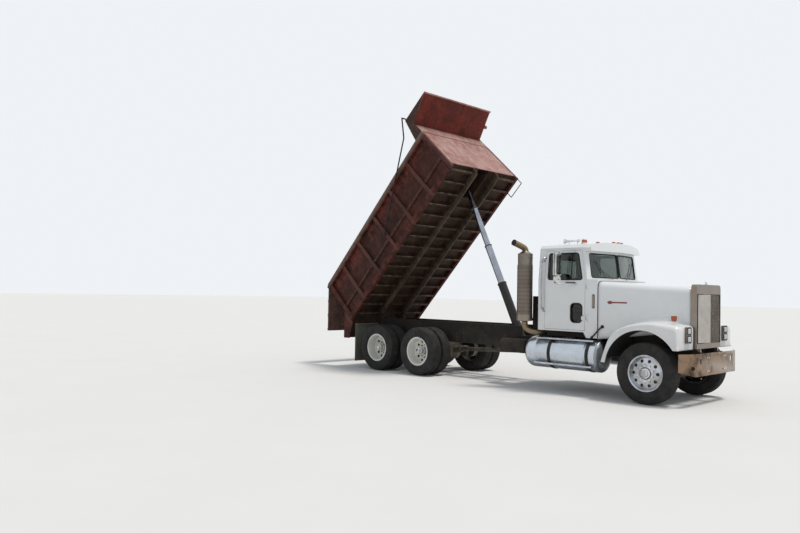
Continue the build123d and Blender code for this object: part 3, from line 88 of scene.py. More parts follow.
@dataclass(frozen=True)
class Places:
    """Main places of the truck, read from the frame."""

    axle_x: float
    tyre_radius: float
    hinge_x: float
    hinge_z: float
    tip: float

    @staticmethod
    def read() -> "Places":
        """Reads axle, hinge and tip angle from the tyres' box and the bed's joint.

        Returns:
            The places, in metres and radians.
        """
        low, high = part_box("tyre_front_right")
        bed = next(joint for joint in frame["joints"] if joint["name"] == "bed_tip")
        return Places((low.x + high.x) / 2, (high.z - low.z) / 2, bed["pos_m"][0], bed["pos_m"][2],
                      -math.radians(bed["range_deg"][0]))

    def on_bed(self, along: Array | float, up: Array | float, y: Array | float) -> Array:
        """Places on the bed, from the front axle: hinge plus along and up, turned by the tip angle.

        Args:
            along: distance forward of the hinge pin, along the floor.
            up: distance above the pin, square to the floor.
            y: distance to the left.

        Returns:
            Points, one row each.
        """
        along, up, y = np.broadcast_arrays(*(np.asarray(value, float) for value in (along, up, y)))
        cos, sin = math.cos(self.tip), math.sin(self.tip)
        return np.stack([self.hinge_x - self.axle_x + cos * along - sin * up, y,
                         self.hinge_z + sin * along + cos * up], axis=-1)


@dataclass
class Surface:
    """A mesh in the making: points and lists of face corners."""

    points: Array
    faces: list[list[int]]

    @staticmethod
    def joined(parts: Sequence["Surface"]) -> "Surface":
        """Joins several surfaces, with their face numbers moved on.

        Args:
            parts: the surfaces to join.

        Returns:
            One surface that holds them all.
        """
        starts = np.cumsum([0] + [len(part.points) for part in parts])
        faces = [[corner + int(start) for corner in face] for part, start in zip(parts, starts)
                 for face in part.faces]
        return Surface(np.concatenate([part.points for part in parts]), faces)

    def copies(self, offsets: Array) -> "Surface":
        """Repeats the surface at each offset."""
        return Surface.joined([Surface(self.points + offset, self.faces) for offset in offsets])

    def mirrored(self) -> "Surface":
        """The surface reflected to the other side of the truck."""
        return Surface(self.points * np.array([1.0, -1.0, 1.0]), [face[::-1] for face in self.faces])

    def both_sides(self) -> "Surface":
        """The surface and its reflection."""
        return Surface.joined([self, self.mirrored()])

    def turned(self, angle: float, centre: Sequence[float]) -> "Surface":
        """The surface turned about the Y direction.

        Args:
            angle: the turn in radians.
            centre: a place on the axis.

        Returns:
            The turned surface.
        """
        x, y, z = (self.points - centre).T
        cos, sin = math.cos(angle), math.sin(angle)
        return Surface(np.column_stack([sin * z + cos * x, y, cos * z - sin * x]) + centre, self.faces)


def grid(points: Array, close_rows: bool = False, close_columns: bool = False) -> Surface:
    """A surface of four-cornered faces over a grid of points.

    Args:
        points: array of rows, columns and three coordinates.
        close_rows: joins the last row to the first.
        close_columns: joins the last column to the first.

    Returns:
        The surface.
    """
    rows, columns = points.shape[:2]
    number = np.arange(rows * columns).reshape(rows, columns)
    if close_rows:
        number = np.concatenate([number, number[:1]])
    if close_columns:
        number = np.concatenate([number, number[:, :1]], axis=1)
    quads = np.stack([number[:-1, :-1], number[1:, :-1], number[1:, 1:], number[:-1, 1:]], axis=-1)
    return Surface(points.reshape(-1, 3), quads.reshape(-1, 4).tolist())


def frame_of(direction: Sequence[float]) -> tuple[Array, Array, Array]:
    """Three unit directions that are square to each other.

    Args:
        direction: the first of them, of any length.

    Returns:
        The given direction and two square to it.
    """
    along = np.asarray(direction, float) / np.linalg.norm(direction)
    other = np.array([0.0, 0.0, 1.0]) if abs(along[2]) < 0.7 else np.array([0.0, 1.0, 0.0])
    across = np.cross(other, along)
    across /= np.linalg.norm(across)
    return along, across, np.cross(along, across)


def lathe(profile: Profile, origin: Sequence[float], direction: Sequence[float], segments: int) -> Surface:
    """A surface of revolution: each profile point goes round the axis on a circle of its radius.

    Args:
        profile: pairs of distance along the axis and radius.
        origin: a point on the axis, from which the distances run.
        direction: the axis.
        segments: the steps of one turn.

    Returns:
        The turned surface.
    """
    along, across, third = frame_of(direction)
    steps = np.asarray(profile, float)
    angle = np.linspace(0, 2 * np.pi, segments, endpoint=False)
    turn = np.cos(angle)[:, None] * across + np.sin(angle)[:, None] * third
    return grid(np.asarray(origin, float) + steps[:, None, :1] * along + steps[:, None, 1:] * turn,
                close_columns=True)


def prism(outline: Sequence[Sequence[float]], origin: Sequence[float], right: Sequence[float],
          up: Sequence[float], depth: float) -> Surface:
    """A closed plate: an outline on a plane, carried square to it, with both ends fanned to their middle.

    Args:
        outline: pairs of distance along right and up, all visible from the outline's middle.
        origin: the plane's origin.
        right: the plane's first direction.
        up: the plane's second direction.
        depth: how far the outline is carried along right x up.

    Returns:
        The plate.
    """
    pairs = np.asarray(outline, float)
    first, second = np.asarray(right, float), np.asarray(up, float)
    flat = np.asarray(origin, float) + pairs[:, :1] * first + pairs[:, 1:] * second
    carried = flat + depth * np.cross(first, second)
    first, last = (np.broadcast_to(face.mean(0), face.shape) for face in (flat, carried))
    return grid(np.stack([first, flat, carried, last]), close_columns=True)


def block(low: Sequence[float], high: Sequence[float]) -> Surface:
    """A closed block between two corners, for a bevel to finish."""
    (x0, y0, z0), (x1, y1, z1) = low, high
    return prism([(x0, y0), (x1, y0), (x1, y1), (x0, y1)], (0, 0, z0), (1, 0, 0), (0, 1, 0), z1 - z0)


def arc(centre: tuple[float, float], radius: float, start: float, end: float, count: int = 7) -> Array:
    """Points on an arc, with its angles in degrees."""
    angle = np.radians(np.linspace(start, end, count))
    return np.stack([centre[0] + radius * np.cos(angle), centre[1] + radius * np.sin(angle)], axis=-1)


def ring(radius: float, sides: int = 6) -> Array:
    """The section of a round bar, with a number of sides."""
    return arc((0, 0), radius, 0, 360 * (1 - 1 / sides), sides)


def rounded(width: float, height: float, radius: float, count: int = 6) -> Array:
    """A rectangle's outline about its middle.

    Args:
        width: its size along the first axis.
        height: its size along the second axis.
        radius: the round at each corner.
        count: points on each round.

    Returns:
        The outline's pairs.
    """
    x, y = width / 2 - radius, height / 2 - radius
    return np.concatenate([arc((x, y), radius, 0, 90, count), arc((-x, y), radius, 90, 180, count),
                           arc((-x, -y), radius, 180, 270, count), arc((x, -y), radius, 270, 360, count)])


def stacked(outline: Array, rows: Profile, origin: Sequence[float], axis: int = 0) -> Surface:
    """Rings of one outline at steps along a main axis, each at its own size.

    Args:
        outline: pairs across the axis, along the two axes that follow it.
        rows: pairs of distance along the axis and size.
        origin: the place from which both run.
        axis: 0 for X, 2 for Z.

    Returns:
        The surface through all rings.
    """
    rings = [np.roll(np.column_stack([np.full(len(outline), depth), outline * size]), axis, axis=1)
             for depth, size in rows]
    return grid(np.stack(rings) + np.asarray(origin, float), close_columns=True)


def smooth_path(points: Sequence[Sequence[float]], count: int) -> Array:
    """A smooth line through given points: a Catmull-Rom curve, each span weighed from four neighbours.

    Args:
        points: the points to pass.
        count: how many points to return.

    Returns:
        Points along the curve.
    """
    knots = np.asarray(points, float)
    padded = np.concatenate([2 * knots[:1] - knots[1:2], knots, 2 * knots[-1:] - knots[-2:-1]])
    place = np.linspace(0, len(knots) - 1 - 1e-9, count)
    span = place.astype(int)
    t = (place - span)[:, None]
    a, b, c, d = (padded[span + step] for step in range(4))
    return 0.5 * (2 * b + (c - a) * t + (2 * a - 5 * b + 4 * c - d) * t ** 2
                  + (3 * b - a - 3 * c + d) * t ** 3)


def swept(path: Array, section: Array, closed: bool = False, up: Sequence[float] | None = None) -> Surface:
    """Carries a closed section along a path; at each point it stands square to the path's direction.

    Args:
        path: points of the line.
        section: pairs across the line.
        closed: the path is a loop.
        up: the direction that the section's second axis leans to.

    Returns:
        The swept surface, with its ends closed unless it is a loop.
    """
    ahead, behind = np.roll(path, -1, axis=0), np.roll(path, 1, axis=0)
    if not closed:
        ahead[-1], behind[0] = path[-1], path[0]
    tangent = ahead - behind
    tangent /= np.linalg.norm(tangent, axis=1)[:, None]
    if up is None:
        up = np.eye(3)[int(np.argmin(np.abs(tangent).max(axis=0)))]
    side = np.cross(np.asarray(up, float), tangent)
    side /= np.linalg.norm(side, axis=1)[:, None]
    rise = np.cross(tangent, side)
    rings = path[:, None] + section[None, :, :1] * side[:, None] + section[None, :, 1:] * rise[:, None]
    if not closed:
        ends = [np.broadcast_to(path[index], rings[:1].shape) for index in (0, -1)]
        rings = np.concatenate([ends[0], rings, ends[1]])
    return grid(rings, close_rows=closed, close_columns=True)


def pipe(points: Sequence[Sequence[float]], radius: float, sides: int, count: int = 0) -> Surface:
    """A round bar along points, bent smoothly where a count of steps is given."""
    return swept(smooth_path(points, count) if count else np.asarray(points, float), ring(radius, sides))


def clean_mesh(mesh: bpy.types.Mesh, merge: float, sliver: float, flat: float = 0.0) -> None:
    """Merges double points and takes out slivers, then joins flat faces, or else turns faces outwards.

    Args:
        mesh: the mesh, changed in place.
        merge: distance within which points are one.
        sliver: length under which an edge counts as none.
        flat: angle in degrees within which faces are joined, or zero.
    """
    clean = bmesh.new()
    clean.from_mesh(mesh)
    bmesh.ops.remove_doubles(clean, verts=clean.verts, dist=merge)
    bmesh.ops.dissolve_degenerate(clean, edges=clean.edges, dist=sliver)
    if flat:
        bmesh.ops.dissolve_limit(clean, angle_limit=math.radians(flat), verts=clean.verts, edges=clean.edges)
    else:
        bmesh.ops.recalc_face_normals(clean, faces=clean.faces)
    clean.to_mesh(mesh)
    clean.free()


def build(name: str, surface: Surface, material: bpy.types.Material, body: str, shape: Shape = Shape.CREASED,
          bevel: float = 0.0, wall: float = 0.0, slot: str = "",
          replaces: Sequence[str] = ()) -> bpy.types.Object:
    """Makes a finished piece from a surface.

    Args:
        name: the piece's name.
        surface: its points and faces.
        material: its finish.
        body: the body it rides on.
        shape: how it is smoothed.
        bevel: width of the round on its edges.
        wall: thickness given to an open sheet, inwards.
        slot: not used.
        replaces: nodes that it stands for.

    Returns:
        The piece's object.
    """
    mesh = bpy.data.meshes.new(name)
    mesh.from_pydata(surface.points.tolist(), [], surface.faces)
    clean_mesh(mesh, 2e-5, 1e-6)
    return finish_piece(name, mesh, material, body, shape, bevel, wall, replaces)


def finish_piece(name: str, mesh: bpy.types.Mesh, material: bpy.types.Material, body: str, shape: Shape,
                 bevel: float, wall: float, replaces: Sequence[str]) -> bpy.types.Object:
    """Gives a mesh its object, modifiers, material and body.

    Args:
        name: the piece's name.
        mesh: its mesh.
        material: its finish.
        body: the body it rides on.
        shape: how it is smoothed.
        bevel: width of the round on its edges.
        wall: thickness given to an open sheet, inwards.
        replaces: nodes that it stands for.

    Returns:
        The piece's object.
    """
    mesh.shade_smooth()
    mesh.set_sharp_from_angle(angle=math.radians(shape.value))
    piece = bpy.data.objects.new(name, mesh)
    bpy.context.scene.collection.objects.link(piece)
    mesh.materials.append(material)
    if wall:
        solid = piece.modifiers.new("wall", "SOLIDIFY")
        solid.thickness, solid.offset, solid.use_even_offset = wall, -1, True
    if bevel:
        edge = piece.modifiers.new("edge", "BEVEL")
        edge.width, edge.segments = bevel, 2
        edge.limit_method, edge.angle_limit = "ANGLE", math.radians(BEVEL_ANGLE)
    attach(piece, body)
    if replaces:
        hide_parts(*replaces)
    log.info("%s: %d faces on %s", name, len(mesh.polygons), body)
    return piece


def body_of(node: str) -> str:
    """The body that carries a node."""
    return next(body for body, members in frame["record"]["behaviour"]["bodies"].items() if node in members)


def soften(node: str, material: bpy.types.Material, bevel: float) -> None:
    """Stands a copy of a node in its place, with its flat faces joined and its edges rounded.

    Args:
        node: the node to stand for.
        material: the copy's finish.
        bevel: width of the round on its edges.
    """
    source = frame["nodes"][node].data
    points = np.empty(len(source.vertices) * 3)
    source.vertices.foreach_get("co", points)
    corners = np.empty(len(source.loops), dtype=np.int32)
    source.loops.foreach_get("vertex_index", corners)
    mesh = bpy.data.meshes.new(f"{node}_dressed")
    mesh.from_pydata(points.reshape(-1, 3).tolist(), [], corners.reshape(-1, 3).tolist())
    clean_mesh(mesh, 3e-5, 1e-5, 0.6)
    finish_piece(f"{node}_dressed", mesh, material, body_of(node), Shape.CREASED, bevel, 0, [node])


class Shader:
    """Builds one node material, with its patterns on Object coordinates."""

    def __init__(self, name: str) -> None:
        """Starts a material with one Principled shader.

        Args:
            name: the material's name.
        """
        self.material = bpy.data.materials.new(name)
        self.material.use_nodes = True
        self.tree = self.material.node_tree
        self.surface = self.tree.nodes["Principled BSDF"]
        self.origin = self.node("ShaderNodeTexCoord").outputs["Object"]

    def node(self, kind: str, inputs: dict[str | int, object] | None = None,
             **settings: object) -> bpy.types.Node:
        """Adds a node.

        Args:
            kind: the node's type.
            inputs: values or links by socket.
            settings: properties of the node itself.

        Returns:
            The node.
        """
        made = self.tree.nodes.new(kind)
        for key, value in settings.items():
            setattr(made, key, value)
        for key, value in (inputs or {}).items():
            if isinstance(value, Socket):
                self.tree.links.new(value, made.inputs[key])
            else:
                made.inputs[key].default_value = value
        return made

    def mapped(self, scale: Sequence[float] = (1, 1, 1), turn: float = 0.0) -> Socket:
        """Object coordinates turned about Y, then stretched."""
        turned = self.node("ShaderNodeMapping", {"Vector": self.origin, "Rotation": (0, turn, 0)})
        return self.node("ShaderNodeMapping", {"Vector": turned.outputs[0], "Scale": tuple(scale)}).outputs[0]

    def noise(self, scale: float, vector: Socket | None = None, detail: float = 5.0,
              rough: float = 0.6) -> Socket:
        """A noise pattern's grey."""
        inputs = {"Vector": vector or self.origin, "Scale": scale, "Detail": detail, "Roughness": rough}
        return self.node("ShaderNodeTexNoise", inputs).outputs[0]

    def band(self, value: Socket, low: float, high: float, first: float = 0.0, last: float = 1.0) -> Socket:
        """Carries a value from low..high to first..last, held at both ends."""
        inputs = {"Value": value, "From Min": low, "From Max": high, "To Min": first, "To Max": last}
        return self.node("ShaderNodeMapRange", inputs).outputs[0]

    def calc(self, kind: str, first: Socket | float, second: Socket | float = 0.0) -> Socket:
        """A Math node's result."""
        return self.node("ShaderNodeMath", {0: first, 1: second}, operation=kind).outputs[0]

    def blend(self, share: Socket | float, first: Socket | Colour, second: Socket | Colour) -> Socket:
        """Mixes two colours.

        Args:
            share: how much of the second one shows.
            first: the colour at a share of zero.
            second: the colour at a share of one.

        Returns:
            The mixed colour.
        """
        colours = [value if isinstance(value, Socket) else (*value, 1.0) for value in (first, second)]
        return self.node("ShaderNodeMix", {"Factor": share, 6: colours[0], 7: colours[1]},
                         data_type="RGBA").outputs[2]

    def split(self, vector: Socket | None = None) -> Sequence[Socket]:
        """X, Y and Z of a vector, or of Object coordinates."""
        return self.node("ShaderNodeSeparateXYZ", {0: vector or self.origin}).outputs

    def inner_share(self, edge: float) -> Socket:
        """Where brake dust and painted shade lie on a wheel: near to the truck's middle, and on faces that look
        towards it.

        Args:
            edge: distance from the middle at which the dust and painted shade end.

        Returns:
            One where the dust and painted shade lie.
        """
        across = self.split()[1]
        facing = self.split(self.node("ShaderNodeNewGeometry").outputs["True Normal"])[1]
        inward = self.band(self.calc("MULTIPLY", across, facing), -0.05, -0.3)
        return self.calc("MAXIMUM", inward, self.band(self.calc("ABSOLUTE", across), edge, edge - 0.03))

    def lining_share(self) -> Socket:
        """One on faces that look down or inwards by the mesh's own normal: painted shade under and behind a panel.
        """
        normal = self.split(self.node("ShaderNodeTexCoord").outputs["Normal"])
        inward = self.band(self.calc("MULTIPLY", self.split()[1], normal[1]), -0.06, -0.2)
        return self.calc("MAXIMUM", inward, self.band(normal[2], -0.55, -0.85))

    def bump(self, value: Socket, depth: float, strength: float = 1.0) -> None:
        """Raises the surface by a pattern, by a depth in metres."""
        made = self.node("ShaderNodeBump", {"Height": value, "Distance": depth, "Strength": strength})
        self.tree.links.new(made.outputs[0], self.surface.inputs["Normal"])

    def set(self, **values: object) -> None:
        """Sets or links the shader's sockets; an underscore in a name stands for a space."""
        for key, value in values.items():
            socket = self.surface.inputs[key.replace("_", " ")]
            if isinstance(value, Socket):
                self.tree.links.new(value, socket)
            else:
                socket.default_value = (*value, 1.0) if isinstance(value, tuple) else value


@dataclass(frozen=True)
class Paint:
    """Sprayed paint with cloudy tone, dust that gathers low, and rust or chips in patches. On wheels the inner
    parts are darkened as brake dust and painted shade; on the hood, faces that look down or inwards get painted
    shade.
    """

    name: str
    base: Colour
    tone: Colour
    dust: Colour = (0.42, 0.34, 0.25)
    dust_share: float = 0.3
    dust_low: float = 0.6
    dust_high: float = 2.2
    rust: Colour = (0.09, 0.035, 0.018)
    rust_share: float = 0.0
    roughness: float = 0.35
    coat: float = 0.0
    # Distance from the middle within which a wheel is darkened as brake dust and painted shade.
    inboard: float = 0.0
    gloss: float = 0.5
    # Faces that look down or inwards get painted shade.
    lined: bool = False

    def material(self) -> bpy.types.Material:
        """Builds the material."""
        shader = Shader(self.name)
        cloud = shader.band(shader.noise(1.3), 0.35, 0.7)
        fine = shader.noise(38.0, detail=8)
        colour = shader.blend(cloud, self.base, self.tone)
        low = shader.band(shader.split()[2], self.dust_low, self.dust_high, 1.0, 0.12)
        dusty = shader.calc("MULTIPLY", low, shader.band(shader.noise(5.0, detail=7), 0.38, 0.75, 0.25, 1.0))
        dusty = shader.calc("MULTIPLY", dusty, self.dust_share)
        colour = shader.blend(dusty, colour, self.dust)
        rough = shader.band(fine, 0.3, 0.75, self.roughness, self.roughness + 0.18)
        if self.rust_share:
            patch = shader.calc("ADD", shader.noise(9.0, detail=9, rough=0.7),
                               shader.band(shader.noise(1.1), 0.3, 0.7, -0.12, 0.12))
            rusty = shader.band(patch, 0.74 - 0.3 * self.rust_share, 0.8 - 0.3 * self.rust_share)
            colour = shader.blend(rusty, colour, self.rust)
            rough = shader.calc("MAXIMUM", rough, shader.calc("MULTIPLY", rusty, 0.85))
        # Inner parts of a wheel: brake dust and painted shade.
        if self.inboard:
            colour = shader.blend(shader.inner_share(self.inboard), colour, BRAKE_DUST_AND_SHADE)
        # Painted shade on faces that look down or inwards.
        if self.lined:
            colour = shader.blend(shader.lining_share(), colour, PAINTED_UNDER_SHADE)
        shader.bump(fine, 0.0006, 0.25)
        shader.set(Base_Color=colour, Roughness=rough, Coat_Weight=self.coat, Coat_Roughness=0.12,
                   Specular_IOR_Level=self.gloss)
        return shader.material


@dataclass(frozen=True)
class BedPaint:
    """Red oxide on the tipping bed: rust-blotched, sun-faded, with stains that run down the walls.

    Below the rail the paint is still red where the rail shades it, and the rail itself holds dust.
    """

    name: str
    base: Colour
    worn: Colour
    deep: Colour
    worn_share: float = 0.5
    tilt: float = 0.0
    stain_share: float = 0.5
    zero: float = 0.0
    fresh: Colour = (0.20, 0.035, 0.024)
    fresh_share: float = 0.0
    dust: Colour = (0.20, 0.18, 0.14)
    dust_share: float = 0.0
    start: float = 0.0
    framed: float = 0.0
    framed_tone: Colour = (0.125, 0.07, 0.058)
    post: tuple[float, float, float] = (0.62, 0.82, 0.05)
    rib: tuple[float, float] = (0.62, 0.034)

    def framed_share(self, shader: Shader, places: Sequence[Socket]) -> Socket:
        """One on the upright posts and the long rib: close to a whole pitch along, or to the rib's height.

        Args:
            shader: the material in the making.
            places: the pattern's own coordinates, turned with the bed.

        Returns:
            The share of the lighter tone.
        """
        first, pitch, half = self.post
        along = shader.calc("SUBTRACT", places[0], self.start + first - pitch / 2)
        step = shader.calc("FLOORED_MODULO", along, pitch)
        off_post = shader.calc("ABSOLUTE", shader.calc("SUBTRACT", step, pitch / 2))
        off_rib = shader.calc("ABSOLUTE", shader.calc("SUBTRACT", places[2], self.zero + self.rib[0]))
        on_post = shader.band(off_post, half + 0.004, half - 0.002)
        on_rib = shader.band(off_rib, self.rib[1] + 0.003, self.rib[1] - 0.002)
        return shader.calc("MULTIPLY", shader.calc("MAXIMUM", on_post, on_rib), self.framed)

    def material(self) -> bpy.types.Material:
        """Builds the material, its pattern turned with the raised bed."""
        shader = Shader(self.name)
        own = shader.mapped(turn=self.tilt)
        large = shader.noise(1.5, own, detail=9, rough=0.68)
        runs = shader.noise(3.4, shader.mapped((3.6, 3.6, 0.45), self.tilt), detail=8, rough=0.72)
        speck = shader.noise(24.0, detail=10, rough=0.75)
        blotch = shader.noise(5.5, own, detail=9, rough=0.72)
        colour = shader.blend(shader.band(large, 0.4, 0.62), self.base, self.deep)
        places = shader.split(own)
        height = places[2]
        if self.framed:
            share = shader.calc("MULTIPLY", self.framed_share(shader, places),
                                shader.band(runs, 0.35, 0.6, 1.0, 0.4))
            colour = shader.blend(share, colour, self.framed_tone)
        if self.fresh_share:
            under_rail = shader.band(height, self.zero + 0.95, self.zero + 1.34, 0.1, 1.0)
            low_band = shader.band(height, self.zero + 0.62, self.zero + 0.3, 0.0, 0.55)
            near = shader.calc("MAXIMUM", under_rail, low_band)
            red = shader.calc("MULTIPLY", near, shader.band(blotch, 0.43, 0.6))
            colour = shader.blend(shader.calc("MULTIPLY", red, self.fresh_share), colour, self.fresh)
        spots = shader.calc("ADD", blotch, shader.calc("MULTIPLY", speck, 0.4))
        fade = shader.calc("MULTIPLY", shader.band(spots, 0.62, 0.86), self.worn_share)
        colour = shader.blend(fade, colour, self.worn)
        stained = shader.calc("MULTIPLY", shader.band(runs, 0.46, 0.62), self.stain_share)
        colour = shader.blend(stained, colour, self.deep)
        if self.dust_share:
            rail = shader.band(height, self.zero + 1.39, self.zero + 1.50, 0.0, self.dust_share)
            rail = shader.calc("MULTIPLY", rail, shader.band(runs, 0.3, 0.55, 0.35, 1.0))
            colour = shader.blend(rail, colour, self.dust)
        chips = shader.band(speck, 0.64, 0.7)
        colour = shader.blend(shader.calc("MULTIPLY", chips, 0.6), colour, (0.10, 0.05, 0.032))
        shader.bump(shader.calc("ADD", speck, shader.calc("MULTIPLY", large, 2.0)), 0.003, 0.55)
        shader.set(Base_Color=colour, Roughness=shader.band(speck, 0.3, 0.7, 0.5, 0.85),
                   Specular_IOR_Level=0.18)
        return shader.material


@dataclass(frozen=True)
class Metal:
    """Bare metal: polished, brushed or heat-stained, with cloudy wear and a film of dust. On the bumper and mirror
    chrome the dark cloudy patches are painted reflections; on wheels the inner parts are darkened as brake dust
    and painted shade.
    """

    name: str
    base: Colour
    # Patch colour: stain, and on the bumper and mirror chrome painted reflections.
    stain: Colour
    low: float = 0.12
    high: float = 0.3
    stain_share: float = 0.4
    stretch: tuple[float, float, float] = (1, 1, 1)
    bump: float = 0.0002
    dust_share: float = 0.25
    film_tone: Colour = (0.4, 0.33, 0.25)
    # Distance from the middle within which a wheel is darkened as brake dust and painted shade.
    inboard: float = 0.0
    patch: tuple[float, float, float] = (3.5, 0.42, 0.7)

    def material(self) -> bpy.types.Material:
        """Builds the material."""
        shader = Shader(self.name)
        grain = shader.noise(60.0, shader.mapped(self.stretch), detail=6)
        cloud = shader.noise(self.patch[0], detail=8, rough=0.65)
        stained = shader.calc("MULTIPLY", shader.band(cloud, self.patch[1], self.patch[2]), self.stain_share)
        colour = shader.blend(stained, self.base, self.stain)
        film = shader.calc("MULTIPLY", shader.band(shader.noise(7.0, detail=9), 0.45, 0.8), self.dust_share)
        colour = shader.blend(film, colour, self.film_tone)
        # Inner parts of a wheel: brake dust and painted shade.
        if self.inboard:
            inner = shader.inner_share(self.inboard)
            colour = shader.blend(inner, colour, BRAKE_DUST_AND_SHADE)
            film = shader.calc("MAXIMUM", film, inner)
        rough = shader.band(shader.calc("ADD", grain, film), 0.3, 1.1, self.low, self.high)
        shader.bump(grain, self.bump, 0.4)
        shader.set(Base_Color=colour, Roughness=rough, Metallic=shader.band(film, 0.0, 0.6, 1.0, 0.35))
        return shader.material


@dataclass(frozen=True)
class Rubber:
    """Worn tyre rubber, greyed in cloudy patches by road dust."""

    name: str
    base: Colour = (0.016, 0.016, 0.017)
    dust: Colour = (0.10, 0.088, 0.07)
    dust_share: float = 0.35

    def material(self) -> bpy.types.Material:
        """Builds the material."""
        shader = Shader(self.name)
        cloud = shader.band(shader.noise(6.0, detail=9, rough=0.7), 0.4, 0.72)
        speck = shader.noise(90.0, detail=6)
        colour = shader.blend(shader.calc("MULTIPLY", cloud, self.dust_share), self.base, self.dust)
        shader.bump(speck, 0.0008, 0.35)
        shader.set(Base_Color=colour, Roughness=shader.band(speck, 0.3, 0.7, 0.72, 0.92),
                   Specular_IOR_Level=0.3)
        return shader.material


@dataclass(frozen=True)
class Glass:
    """Window glass: clear, lightly tinted, with a thin film of dust."""

    name: str
    tint: Colour

    def material(self) -> bpy.types.Material:
        """Builds the material."""
        shader = Shader(self.name)
        film = shader.band(shader.noise(4.0, detail=8), 0.35, 0.8, 0.0, 0.1)
        shader.set(Base_Color=shader.blend(film, self.tint, (0.6, 0.58, 0.52)), Transmission_Weight=1.0,
                   Roughness=shader.band(film, 0.0, 0.1, 0.01, 0.09), IOR=1.45)
        return shader.material


@dataclass(frozen=True)
class Lens:
    """Moulded lamp lens with fine ribs and a warm glow of its own colour."""

    name: str
    tint: Colour
    ribs: float = 160.0

    def material(self) -> bpy.types.Material:
        """Builds the material."""
        shader = Shader(self.name)
        wave = shader.node("ShaderNodeTexWave", {"Vector": shader.origin, "Scale": self.ribs / 6.28,
                                                 "Distortion": 0.0}, bands_direction="Z").outputs[1]
        tone = tuple(value * 0.55 for value in self.tint)
        shader.bump(wave, 0.0008, 0.6)
        shader.set(Base_Color=shader.blend(shader.noise(20.0), self.tint, tone), Transmission_Weight=0.25,
                   Roughness=0.12, Coat_Weight=0.5)
        return shader.material


@dataclass(frozen=True)
class Fabric:
    """Woven seat cloth or vinyl with a fine weave."""

    name: str
    base: Colour
    tone: Colour

    def material(self) -> bpy.types.Material:
        """Builds the material."""
        shader = Shader(self.name)
        weave = shader.node("ShaderNodeTexWave", {"Vector": shader.mapped(turn=0.8), "Scale": 110.0,
                                                  "Distortion": 1.5}).outputs[1]
        shader.bump(weave, 0.0008, 0.5)
        shader.set(Base_Color=shader.blend(shader.noise(8.0), self.base, self.tone), Roughness=0.8,
                   Sheen_Weight=0.3)
        return shader.material


